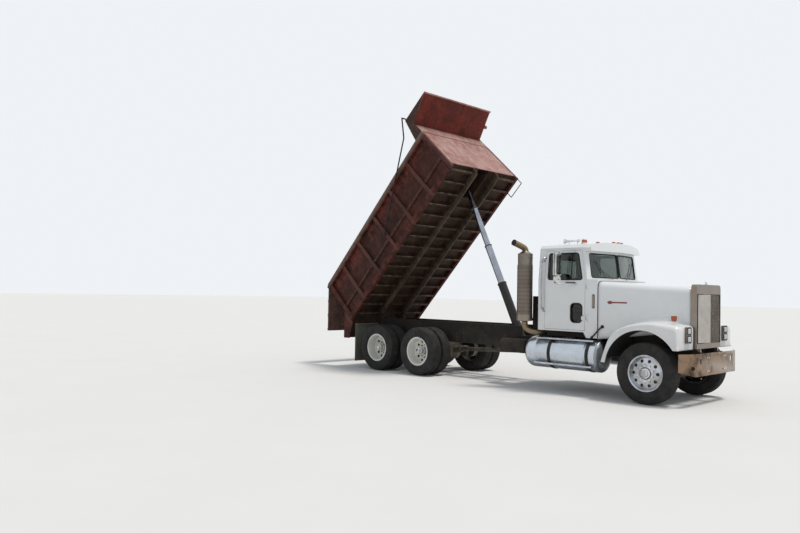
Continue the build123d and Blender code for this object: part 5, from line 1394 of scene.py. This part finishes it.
@dataclass
class CabDress(Dress):
    """Cab shell and doors with gaskets, rails, mirrors, seats, roof lamps, beacon and horn."""

    glass_foot: tuple[float, float, float] = (-1.105, 0.0, 2.265)
    rail_x: float = -2.238
    mirror_x: float = -1.775
    mirror_y: float = 1.222
    mirror_z: float = 2.515
    beacon: tuple[float, float, float] = (-1.58, -0.56, 2.935)
    horn: tuple[float, float, float] = (-2.04, -0.56, 3.01)

    def glass_point(self, side: int, across: float, up: float, out: float) -> Array:
        """A place on the windshield of one side, swept back with width and leaning back with height.

        Args:
            side: 1 for left, -1 for right.
            across: distance outwards from the middle.
            up: distance up the glass.
            out: distance out of the glass.

        Returns:
            The place from the front axle.
        """
        right = np.array([-0.14, side, 0.0])
        right /= np.linalg.norm(right)
        normal = np.cross(right, np.array([-0.147, 0, 1.0])) * side
        normal /= np.linalg.norm(normal)
        rise = np.cross(normal, right) * side
        return np.array(self.glass_foot) + right * across + rise * up + normal * out

    def build(self) -> None:
        """Builds all pieces of the cab."""
        self.soft("cab_shell", "cab_white", 0.012)
        for side in Side:
            self.soft(f"door_{side.word}", "cab_white", 0.006)
        self.soft("cab_interior", "trim_dark", 0.012)
        self.gaskets()
        self.trim()
        self.seats()
        self.mirrors()
        self.roof()

    def gaskets(self) -> None:
        """Black rubber round windshield panes, rear window, side windows and the low window."""
        bead, out = ring(0.011), (1, 0, 0)
        loops = []
        for side in (1, -1):
            path = [self.glass_point(side, 0.456 + a, 0.235 + b, -0.004)
                    for a, b in rounded(0.848, 0.47, 0.045)]
            loops.append(swept(np.array(path), bead, True, out))
        rear = rounded(0.86, 0.38, 0.04) + (0, 2.46)
        loops.append(swept(np.column_stack([np.full(len(rear), -2.362), rear]), bead, True, out))
        middle = np.array([self.glass_point(1, 0.0, up, 0.0) for up in (-0.004, 0.15, 0.32, 0.474)])
        loops.append(swept(middle, rounded(0.034, 0.012, 0.004, 2), up=out))
        self.piece("cab_gaskets", loops, "gasket", "chassis", Shape.ROUND, slot="cab_trim")
        window = self.rounded_window([(-2.12, 2.217), (-1.34, 2.217), (-1.457, 2.735), (-2.12, 2.735)], 0.055)
        peep = rounded(0.245, 0.362, 0.075) + (-1.4675, 1.574)
        for side in Side:
            sign = side.value
            lean = sign * (1.021 - np.clip(window[:, 1] - 2.2, 0, 1) * 0.09375)
            loops = [swept(np.column_stack([window[:, 0], lean, window[:, 1]]), bead, True, (0, 1, 0))]
            if side is Side.RIGHT:
                line = np.column_stack([peep[:, 0], np.full(len(peep), -1.021), peep[:, 1]])
                loops.append(swept(line, ring(0.014), True, (0, 1, 0)))
            loops.append(pipe([(-1.60, sign * 1.004, 2.22), (-1.60, sign * 0.958, 2.73)], 0.008, 8))
            self.piece(f"window_gaskets_{side.word}", loops, "gasket", f"door_{side.word}", Shape.ROUND,
                       slot="cab_trim")

    @staticmethod
    def rounded_window(corners: Sequence[tuple[float, float]], radius: float) -> Array:
        """An outline with each corner turned by a quadratic curve from edge to edge.

        Args:
            corners: the outline's corners.
            radius: distance from a corner at which its curve starts.

        Returns:
            The outline's pairs.
        """
        made = []
        pairs = np.array(corners)
        for before, here, after in zip(np.roll(pairs, 1, axis=0), pairs, np.roll(pairs, -1, axis=0)):
            first = here + (before - here) / np.linalg.norm(before - here) * radius
            last = here + (after - here) / np.linalg.norm(after - here) * radius
            t = np.linspace(0, 1, 6)[:, None]
            made.append((1 - t) ** 2 * first + 2 * t * (1 - t) * here + t ** 2 * last)
        return np.concatenate(made)

    def trim(self) -> None:
        """Drip rails, cowl slots, door pulls, grab rails and wipers."""
        drip = pipe([(-2.34, -0.966, 2.838), (-1.9, -0.967, 2.84), (-1.33, -0.966, 2.838),
                     (-1.245, -0.955, 2.81)], 0.008, 8, 24)
        self.piece("drip_rails", drip, "cab_white", "chassis", Shape.ROUND, True, slot="cab_white")
        cowl = (0.946, 0.325, 0)
        slot = prism(rounded(0.052, 0.27, 0.02), (-1.117, -0.9905, 1.805), cowl, (0, 0, 1), 0.003)
        inside = prism(rounded(0.03, 0.235, 0.012), (-1.122, -0.9925, 1.805), cowl, (0, 0, 1), 0.003)
        self.piece("cowl_slots", slot, "trim_dark", both=True, slot="cab_trim")
        self.piece("cowl_slot_grips", inside, "stainless", both=True, slot="cab_trim")
        pull = Surface.joined([
            pipe([(-1.69, -1.03, 2.158), (-1.67, -1.048, 2.158), (-1.5, -1.048, 2.158),
                  (-1.48, -1.03, 2.158)], 0.011, 10, 20),
            prism(rounded(0.21, 0.03, 0.012), (-1.585, -1.0205, 2.157), (1, 0, 0), (0, 0, 1), 0.006)])
        for side, surface in ((Side.RIGHT, pull), (Side.LEFT, pull.mirrored())):
            self.piece(f"door_pull_{side.word}", surface, "trim_dark", f"door_{side.word}", slot="polished")
        x = self.rail_x
        rails = [
            pipe([(x, -1.078, 1.64), (x, -1.078, 2.59)], 0.0145, 12),
            pipe([(x, -1.078, 2.56), (-2.234, -1.074, 2.60), (-2.21, -1.05, 2.635), (-2.18, -0.984, 2.65)],
                 0.013, 10, 16),
            pipe([(x, -1.078, 1.67), (-2.234, -1.074, 1.63), (-2.21, -1.06, 1.595), (-2.18, -1.018, 1.58)],
                 0.013, 10, 16),
            lathe([(0, 0), (0, 0.03), (0.008, 0.03), (0.01, 0)], (x, -1.018, 1.64), (0, -1, 0), 18),
            lathe([(0, 0), (0, 0.03), (0.012, 0.03), (0.014, 0)], (x, -0.984, 2.59), (0, -1, 0), 18)]
        self.piece("grab_rails", rails, "polished", "chassis", Shape.ROUND, True, slot="polished")
        arms = []
        for side, foot in ((1, 0.3), (-1, 0.25)):
            for start, end, radius in (((0.0, -0.03, 0.02), (0.33, 0.16, 0.014), 0.006),
                                       ((0.2, 0.0, 0.012), (0.46, 0.33, 0.012), 0.008)):
                ends = [self.glass_point(side, foot + across, up, out) for across, up, out in (start, end)]
                arms.append(pipe(ends, radius, 6))
        self.piece("wipers", arms, "trim_dark", slot="cab_trim")

    def seats(self) -> None:
        """Two padded seats: cushions and backs as pillows, thick in the middle and thin at the seam."""
        for side in Side:
            y = side.value * 0.45
            parts = [self.pillow((-1.895, y, 1.6), (0.27, 0.262, 0.062), 0.0),
                     self.pillow((-2.085, y, 1.99), (0.36, 0.252, 0.075), math.radians(97))]
            piece = self.piece(f"seat_{side.word}", parts, "seat_cloth", "chassis", Shape.ROUND,
                               slot="cab_trim")

    @staticmethod
    def pillow(centre: Sequence[float], half: Sequence[float], lean: float) -> Surface:
        """A padded cushion: a rounded box with stitched flutes, its ends drawn in by a super-ellipse.

        Args:
            centre: its middle.
            half: half sizes along, across and up.
            lean: turn about Y.

        Returns:
            A closed cushion.
        """
        def bent(value: Array, power: float) -> Array:
            """A value's size raised to a power, with its sign."""
            return np.sign(value) * np.abs(value) ** power

        angle = np.linspace(0, 2 * np.pi, 48, endpoint=False)[None]
        rise = np.linspace(-np.pi / 2, np.pi / 2, 17)[:, None]
        level = bent(np.cos(rise), 0.28)
        x, y = level * bent(np.cos(angle), 0.3), level * bent(np.sin(angle), 0.3)
        flute = 1 - 0.06 * np.abs(np.sin(y * 9.0)) ** 0.5
        points = np.stack([x * half[0], y * half[1], bent(np.sin(rise), 0.6) * half[2] * flute], axis=-1)
        points[0], points[-1] = points[0].mean(0), points[-1].mean(0)
        return grid(points + centre, close_columns=True).turned(-lean, centre)

    def mirrors(self) -> None:
        """Chrome mirror heads with glass to the rear, round convex mirrors below and tube brackets."""
        head = rounded(0.186, 0.45, 0.03)
        rows = ((-0.036, 0.97), (-0.036, 1.0), (0.02, 1.0), (0.034, 0.9), (0.038, 0.6), (0.038, 0.02))
        convex = ((-0.034, 0.0), (-0.034, 0.07), (-0.036, 0.082), (0.0, 0.082), (0.024, 0.062), (0.034, 0.0))
        x, z = self.mirror_x, self.mirror_z
        for side in Side:
            y, door = side.value * self.mirror_y, f"door_{side.word}"
            parts = [stacked(head, rows, (x, y, z)), lathe(convex, (x, y, 2.215), (1, 0, 0), 40),
                     pipe([(x, y, 2.122), (x, y, 2.767)], 0.0125, 10)]
            parts += [pipe([(foot, side.value * out, level), (x, y, level)], 0.0125, 10)
                      for foot, out, level in ((-1.43, 1.0, 2.125), (-1.52, 0.96, 2.764))]
            parts += [pipe([(x, y, 2.767), (x, y + off, 2.74), (x, y + off, 2.52), (x, y + off, 2.31),
                            (x, y, 2.285)], 0.009, 8, 40) for off in (-0.077, 0.077)]
            self.piece(f"mirror_{side.word}", parts, "mirror_chrome", door, slot="polished")
            edge = np.column_stack([np.full(len(head), x - 0.008), head + (y, z)])
            self.piece(f"mirror_rim_{side.word}", swept(edge, ring(0.006), True, (1, 0, 0)), "gasket", door,
                       Shape.ROUND, slot="polished")
            pane = prism(rounded(0.168, 0.43, 0.024), (x - 0.0375, y, z), (0, 1, 0), (0, 0, 1), -0.003)
            self.piece(f"mirror_glass_{side.word}", pane, "mirror_pane", door, slot="window_glass")

    def roof(self) -> None:
        """Amber markers on chrome bases, a beacon with a pale cap and a chrome horn."""
        bases, lenses = [], []
        outline = rounded(0.086, 0.066, 0.02)
        for y in (-0.64, -0.15, 0.0, 0.15, 0.64):
            spot = (-1.15143 - 0.14 * abs(y), y, 2.955 - 0.155 * max(0.0, abs(y) - 0.47))
            bases.append(stacked(outline, ((-0.015, 1.0), (0.008, 1.0), (0.012, 0.94)), spot, 2))
            lens = stacked(outline, ((0.01, 0.88), (0.024, 0.84), (0.034, 0.62), (0.038, 0.3), (0.038, 0.01)),
                           spot, 2)
            lens.points[:, 0] += 0.006 * (lens.points[:, 2] > spot[2] + 0.02)
            lenses.append(lens)
        self.piece("marker_lenses", lenses, "amber_lens", "chassis", Shape.ROUND, slot="amber_lens",
                   replaces=["roof_lamps"])
        base, dome, cap = (lathe(profile, self.beacon, (0, 0, 1), 40) for profile in (
            [(-0.01, 0.0), (-0.01, 0.066), (0.02, 0.066), (0.028, 0.06), (0.03, 0.0)],
            [(0.03, 0.054), (0.034, 0.057), (0.07, 0.055), (0.088, 0.05)],
            [(0.086, 0.051), (0.1, 0.046), (0.114, 0.03), (0.119, 0.0)]))
        self.piece("beacon_dome", dome, "amber_lens", "chassis", Shape.ROUND, slot="amber_lens")
        self.piece("beacon_cap", [base, cap], "cab_white", "chassis", Shape.ROUND, slot="cab_white")
        horn, mouth = (lathe(profile, self.horn, (1, 0, 0), 32) for profile in (
            [(0, 0.046), (0.004, 0.05), (0.01, 0.048), (0.03, 0.036), (0.07, 0.026), (0.14, 0.021),
             (0.3, 0.018), (0.3, 0.03), (0.35, 0.031), (0.355, 0.0)],
            [(0.012, 0.0), (0.012, 0.03), (0.002, 0.045)]))
        legs = [pipe([(x, -0.56, 2.945), (x, -0.56, 3.0)], 0.009, 8) for x in (-1.93, -1.74)]
        self.piece("roof_horn", [horn, mouth, *legs, *bases], "chrome", slot="polished")


@dataclass
class ChassisDress(Dress):
    """Frame, tanks, exhaust, bumper, flaps, springs, bolts and lamps."""

    tank_rear: tuple[float, float, float] = (-2.64, 0.842, 0.765)
    tank_length: float = 1.705
    tank_radius: float = 0.31
    strap_places: tuple[float, float] = (-2.008, -1.167)
    stack_x: float = -2.665
    stack_y: float = -1.03
    shield_radius: float = 0.16

    def build(self) -> None:
        """Builds all pieces of the chassis."""
        self.soft("frame", "chassis_black", 0.004)
        # Bumper chrome with painted reflections.
        self.soft("front_bumper", "bumper_chrome", 0.004)
        # Mud flaps, lightened as painted light.
        self.soft("mud_flaps", "mud_rubber", 0.003)
        for node in ("front_axle", "rear_axles", "driveline", "steering_knuckle_left",
                     "steering_knuckle_right"):
            self.soft(node, "iron_dark", 0.006)
        self.tanks()
        self.exhaust()
        self.exhaust_pipes()
        self.sub_sills()
        self.springs()
        self.bolts()
        self.rear_lamps()

    def tanks(self) -> None:
        """Polished tanks with domed front ends in a darker finish as painted shade, black straps, ribbed steps and
        filler caps.
        """
        length, radius, (_, y, z) = self.tank_length, self.tank_radius, self.tank_rear
        bead, dome = radius - 0.0025, np.linspace(0, np.pi / 2, 9)
        rear = np.column_stack([0.16 * (1 - np.sin(dome)), 0.309 * np.cos(dome) ** 0.55])[::-1]
        front = np.column_stack([length - 0.075 * (1 - np.sin(dome)), 0.309 * np.cos(dome) ** 0.4])
        body = [(0.162, radius), (0.3, radius), (0.303, bead), (0.309, bead), (0.312, radius),
                (length - 0.325, radius), (length - 0.322, bead), (length - 0.316, bead),
                (length - 0.313, radius), (length - 0.077, radius)]
        shell = lathe([*rear[:-1], *body], self.tank_rear, (1, 0, 0), 72)
        # The front dome, darker as painted shade.
        end = lathe([(length - 0.077, 0.3095), *front], self.tank_rear, (1, 0, 0), 72)
        band = [(-0.0325, 0.309), (-0.0325, 0.316), (-0.02, 0.318), (0.02, 0.318), (0.0325, 0.316),
                (0.0325, 0.309)]
        straps, steps = [], []
        for x in self.strap_places:
            straps += [lathe(band, (x, y, z), (1, 0, 0), 72),
                       block((x - 0.04, 0.432, 0.79), (x + 0.04, 0.56, 0.96)),
                       block((x - 0.02, 0.93, 1.025), (x + 0.02, 1.08, 1.04))]
        for (y0, y1), low in (((0.9, 1.092), 1.04), ((1.05, 1.165), 0.552)):
            tread = np.linspace(y0, y1, 49)
            height = low + 0.025 + np.array([0.0, 0.003, 0.003, 0.0])[np.arange(49) % 4]
            height[[0, -1]] = low
            rows = [np.column_stack([np.full(49, x), tread, level]) for x, level in (
                (-2.337, np.full(49, low)), (-2.337, height), (-1.055, height), (-1.055, np.full(49, low)))]
            steps.append(grid(np.stack(rows), close_rows=True))
        cap = lathe([(0, 0), (0, 0.05), (0.03, 0.05), (0.034, 0.042), (0.06, 0.042), (0.064, 0.0)],
                    (-1.62, 0.76, 1.05), (0, -0.25, 0.97), 28)
        self.piece("tank_shells", shell, "tank_metal", "chassis", Shape.ROUND, True, slot="polished",
                   replaces=["fuel_tanks"])
        self.piece("tank_ends", end, "tank_end", "chassis", Shape.ROUND, True, slot="polished")
        self.piece("tank_straps", straps, "flap_rubber", both=True, slot="flap_rubber")
        self.piece("tank_steps", [*steps, cap], "polished", both=True, slot="polished")

    def exhaust(self) -> None:
        """Muffler with end cones and bands, and its slotted heat shield."""
        x, y, radius = self.stack_x, self.stack_y, self.shield_radius
        muffler = lathe([(0, 0.0), (0, 0.048), (0.012, 0.06), (0.045, 0.148), (0.055, 0.15), (1.39, 0.15),
                         (1.4, 0.146), (1.44, 0.08), (1.455, 0.066), (1.455, 0.0)], (x, y, 1.345),
                        (0, 0, 1), 64)
        bands = [lathe([(-0.012, 0.149), (-0.012, 0.154), (0.012, 0.154), (0.012, 0.149)], (x, y, z),
                       (0, 0, 1), 64) for z in (1.42, 2.66, 2.73)]
        self.piece("muffler", [muffler, *bands], "stack_metal", slot="stack_steel",
                   replaces=["exhaust_stack"])
        turn = np.radians(np.linspace(-200, 20, 45))
        profile = np.array([(1.5, -0.007), (1.503, -0.001), (1.55, 0), (2.0, 0), (2.45, 0), (2.517, -0.001),
                            (2.52, -0.007)])
        out = radius + profile[:, 1:]
        sheet = np.stack([x + out * np.cos(turn), y + out * np.sin(turn),
                          np.broadcast_to(profile[:, :1], (len(profile), len(turn)))], axis=-1)
        self.piece("heat_shield", grid(sheet), "shield_brown", "chassis", Shape.ROUND, wall=0.003,
                   slot="stack_steel")
        low_band = lathe([(0, 0.152), (0.002, 0.159), (0.15, 0.159), (0.152, 0.152)], (x, y, 1.375),
                         (0, 0, 1), 64)
        self.piece("shield_band", low_band, "stainless", "chassis", Shape.ROUND, slot="stack_steel")
        slots = []
        for angle in np.radians(np.linspace(-188, 8, 14)):
            way = np.array([math.cos(angle), math.sin(angle), 0.0])
            hole = prism(rounded(0.008, 0.03, 0.0035, 3), (x, y, 0) + way * (radius - 0.0005),
                         (-way[1], way[0], 0.0), (0, 0, 1), 0.0012)
            slots.append(hole.copies(np.array([(0, 0, z) for z in np.linspace(1.57, 2.45, 12)])))
        self.piece("shield_slots", slots, "gasket", slot="stack_steel")

    def exhaust_pipes(self) -> None:
        """The stack's open turned-out tip, its elbow under the cab with a clamp, and its bracket."""
        x, y = self.stack_x, self.stack_y
        path = smooth_path([(x, y, 2.785), (x - 0.001, y - 0.004, 2.825), (x - 0.012, y - 0.045, 2.868),
                            (x - 0.04, y - 0.15, 2.912), (x - 0.0785, y - 0.304, 2.9645)], 40)
        self.piece("exhaust_tip", swept(path, ring(0.062, 30), up=(1, 0, 0)), "pipe_tan", "chassis",
                   Shape.ROUND, slot="stack_steel")
        mouth = lathe([(0.0015, 0.0), (0.0015, 0.052), (0.003, 0.058), (0.003, 0.0625), (-0.02, 0.0635)],
                      path[-1], path[-1] - path[-3], 40)
        self.piece("exhaust_mouth", mouth, "gasket", slot="stack_steel")
        elbow = pipe([(x, y, 1.36), (x, y, 1.30), (x + 0.02, y + 0.01, 1.235), (x + 0.09, y + 0.04, 1.18),
                      (x + 0.19, y + 0.10, 1.15), (x + 0.27, y + 0.2, 1.145), (x + 0.31, y + 0.38, 1.142),
                      (x + 0.33, -0.42, 1.14), (x + 0.42, -0.31, 1.12), (-1.0, -0.295, 1.0)], 0.058, 20, 90)
        clamp = lathe([(-0.02, 0.05), (-0.02, 0.067), (0.02, 0.067), (0.02, 0.05)], (x, y, 1.325),
                      (0, 0, 1), 36)
        self.piece("exhaust_pipe", [elbow, clamp], "pipe_tan", "chassis", Shape.ROUND, slot="stack_steel")
        bracket = [block((x - 0.055, y, 1.38), (x + 0.055, -0.347, 1.42)),
                   block((x - 0.055, -0.432, 1.03), (x + 0.055, -0.347, 1.42))]
        self.piece("exhaust_bracket", bracket, "chassis_black", bevel=0.004, slot="frame_paint")

    def sub_sills(self) -> None:
        """Black boxed sills under the cab floor, in two steps."""
        sills = [block((-2.25, 0.46, 1.09), (-1.32, 0.84, 1.208)),
                 block((-1.32, 0.46, 1.07), (-1.12, 0.80, 1.15))]
        self.piece("cab_sub_sills", sills, "chassis_black", both=True, bevel=0.012, slot="frame_paint")

    def springs(self) -> None:
        """Front leaf springs as stacked leaves, each shorter than the one above and bent by a parabola."""
        leaves = []
        for leaf in range(5):
            share = 1 - 0.17 * leaf
            xs = np.linspace(-0.7 * share, 0.47 * share, 21)
            z = 0.622 + 0.11 * ((xs + 0.1) / 0.62) ** 2 - leaf * 0.0135
            top = np.column_stack([xs, np.full(21, 0.353), z])
            leaves.append(grid(np.stack([top, top + (0, 0.074, 0), top + (0, 0.074, -0.012),
                                         top + (0, 0, -0.012)]), close_rows=True))
        self.piece("front_springs", leaves, "iron_dark", both=True, slot="axle_iron")

    def bolts(self) -> None:
        """Rows of bolt heads on the rails, subframe and bumper."""
        head = [(0, 0), (0, 0.014), (0.009, 0.014), (0.011, 0.01), (0.011, 0)]
        rail = [(x, 0.432, z) for x in (-1.95, -2.95, -4.15, -5.0, -6.213, -7.48) for z in (0.83, 0.9, 0.97)]
        rail += [(x, 0.432, z) for x in np.arange(-7.2, -3.3, 0.6) for z in (1.0, 1.08)]
        rail += [(x, 0.454, 1.19) for x in (-7.3, -7.45)]
        self.piece("rail_bolts", lathe(head, (0, 0, 0), (0, 1, 0), 6).copies(np.array(rail)), "iron_dark",
                   both=True, slot="axle_iron")
        spots = np.array([(0.8, y, z) for y in (-0.4, -0.34, 0.34, 0.4) for z in (0.62, 0.86)])
        self.piece("bumper_bolts", lathe(head, (0, 0, 0), (1, 0, 0), 16).copies(spots), "chrome",
                   slot="bumper_metal")

    def rear_lamps(self) -> None:
        """Round red and amber lamps on the lamp boxes, and bolts of the flap bars."""
        for name, y, tone in (("stop", 0.47, "red_lens"), ("turn", 0.53, "amber_lens")):
            lens = lathe([(0, 0.0), (0, 0.026), (0.008, 0.026), (0.014, 0.018), (0.017, 0.0)],
                         (-7.72, y, 0.9), (-1, 0, 0), 28)
            self.piece(f"{name}_lamps", lens, tone, "chassis", Shape.ROUND, True, slot="amber_lens")
        head = lathe([(0, 0), (0, 0.012), (0.008, 0.012), (0.01, 0)], (0, 0, 0), (-1, 0, 0), 6)
        spots = np.array([(-7.71, y, 1.08) for y in np.arange(0.68, 1.18, 0.12)])
        self.piece("flap_bolts", head.copies(spots), "iron_dark", both=True, slot="axle_iron")


@dataclass
class BedDress(Dress):
    """Raised bed, tailgate, tarp arms and telescopic hoist."""

    bearers: int = 15
    first_bearer: float = 0.07
    bearer_pitch: float = 0.323
    hoist_foot: tuple[float, float, float] = (-3.446, 0.0, 0.9)
    hoist_head: tuple[float, float] = (4.455, 1.27)
    strokes: tuple[float, float, float] = (0.93, 0.98, 0.9)

    def build(self) -> None:
        """Builds all pieces of the bed and hoist."""
        for node, finish, bevel in (("bed_floor", "bed_under", 0.004), ("bed_side_left", "bed_side", 0.005),
                                    ("bed_side_right", "bed_side", 0.005), ("bed_front", "bed_wall", 0.004),
                                    ("tailgate", "bed_gate", 0.005), ("tarp_arms", "arm_grey", 0.0)):
            self.soft(node, finish, bevel)
        self.shield()
        self.sills()
        self.hoist()

    def plate_on_bed(self, corners: Sequence[tuple[float, float]], y0: float, y1: float) -> Surface:
        """A plate drawn along and above the bed's floor and carried across.

        Args:
            corners: its outline as pairs of along and up from the hinge.
            y0: its first side.
            y1: its other side.

        Returns:
            The closed plate.
        """
        pairs = np.array(corners)
        rings = [self.places.on_bed(pairs[:, 0], pairs[:, 1], y) for y in (y0, y1)]
        middle = [np.broadcast_to(ring.mean(0), ring.shape) for ring in rings]
        return grid(np.stack([middle[0], rings[0], rings[1], middle[1]]), close_columns=True)

    def strip_on_bed(self, along: tuple[float, float], up: tuple[float, float], y0: float,
                     y1: float) -> Surface:
        """A plate on the bed with four corners, from one end of along and up to the other."""
        return self.plate_on_bed([(along[0], up[0]), (along[1], up[0]), (along[1], up[1]), (along[0], up[1])],
                                 y0, y1)

    def shield(self) -> None:
        """Skins that give the cab shield and its cheeks their own paint, and the seam at their foot."""
        face = self.plate_on_bed([(4.7525, 1.876), (5.466, 2.0825), (5.463, 2.098), (4.739, 1.891)],
                                 -1.2155, 1.2155)
        rim = self.strip_on_bed((4.7515, 4.7545), (1.80, 1.89), -1.215, 1.215)
        self.piece("shield_skin", [face, rim], "bed_shield", "bed", bevel=0.002, slot="bed_red")
        cheeks = [self.plate_on_bed(outline, sign * 1.2135, sign * 1.2285) for sign in (-1, 1)
                  for outline in ([(4.7525, 1.876), (5.462, 2.101), (4.625, 2.151)],
                                  [(4.479, 1.521), (4.7525, 1.521), (4.7525, 1.876), (4.625, 2.151)])]
        self.piece("cheek_skins", cheeks, "bed_gate", "bed", slot="bed_red")
        seam = self.strip_on_bed((4.751, 4.757), (1.50, 1.53), -1.2, 1.2)
        self.piece("front_seam", seam, "bed_side", "bed", slot="bed_red")

    def sills(self) -> None:
        """Yellow-brown sill faces and pale strips along the cross-bearers' lower front edges."""
        sill, strips, edges = (0.2, 4.69), [], []
        for sign in (-1, 1):
            strips.append(self.strip_on_bed(sill, (0.1085, 0.1105), sign * 0.373, sign * 0.431))
            strips += [self.strip_on_bed(sill, (0.112, 0.195), sign * inner, sign * outer)
                       for inner, outer in ((0.3735, 0.3745), (0.4295, 0.4305))]
        self.piece("sill_faces", strips, "bed_sill", "bed", slot="bed_red")
        for start in self.first_bearer + self.bearer_pitch * np.arange(self.bearers):
            edges += [self.strip_on_bed((start + 0.044, start + 0.061), (0.2025, 0.2055), sign * 0.432,
                                        sign * 1.164) for sign in (-1, 1)]
        self.piece("bearer_edges", edges, "bearer_worn", "bed", slot="bed_red")

    def hoist(self) -> None:
        """Barrel and stages with dark gland rings; each ring stands at the head of its drawn-out stage."""
        base = np.array(self.hoist_foot)
        along = self.places.on_bed(*self.hoist_head, 0.0) - base
        along /= np.linalg.norm(along)
        self.palette.dress("hoist_barrel", "barrel_blue")
        rings = [lathe([(0, 0.0972), (0, 0.104), (0.03, 0.104), (0.03, 0.0972)], base + along * place,
                       along, 48) for place in (1.365, 0.05)]
        self.piece("barrel_rings", rings, "iron_dark", "hoist_barrel", slot="barrel_paint")
        heads = 1.4 + 0.026 * np.arange(1, 4) + np.cumsum(self.strokes)
        collars = zip((0.078, 0.065, 0.053), heads, (0.0095, 0.0095, 0.0078))
        for stage, (radius, head, lip) in enumerate(collars, start=1):
            collar = lathe([(-0.0245, radius + 0.0075), (-0.0235, radius + lip), (-0.001, radius + lip),
                            (0.0005, radius - 0.004)], base + along * head, along, 48)
            self.piece(f"stage_collar_{stage}", collar, "iron_dark", f"hoist_stage_{stage}",
                       slot="barrel_paint")
        for stage, name in enumerate(("rod_metal", "rod_metal", "rod_dark", "rod_metal"), start=1):
            self.palette.dress(f"hoist_stage_{stage}", name)


def main() -> None:
    """Builds the studio and every sub-assembly in order."""
    logging.basicConfig(level=logging.INFO, format="%(name)s: %(message)s")
    places = Places.read()
    Studio().build(places)
    palette = Palette(places)
    palette.build()
    for node, name in (("cab_glass", "window_glass"), ("door_glass_left", "door_glass"),
                       ("door_glass_right", "door_glass")):
        palette.dress(node, name)
    for dress in (WheelDress, HoodDress, CabDress, ChassisDress, BedDress):
        dress(places, palette).build()


if __name__ == "__main__":
    main()
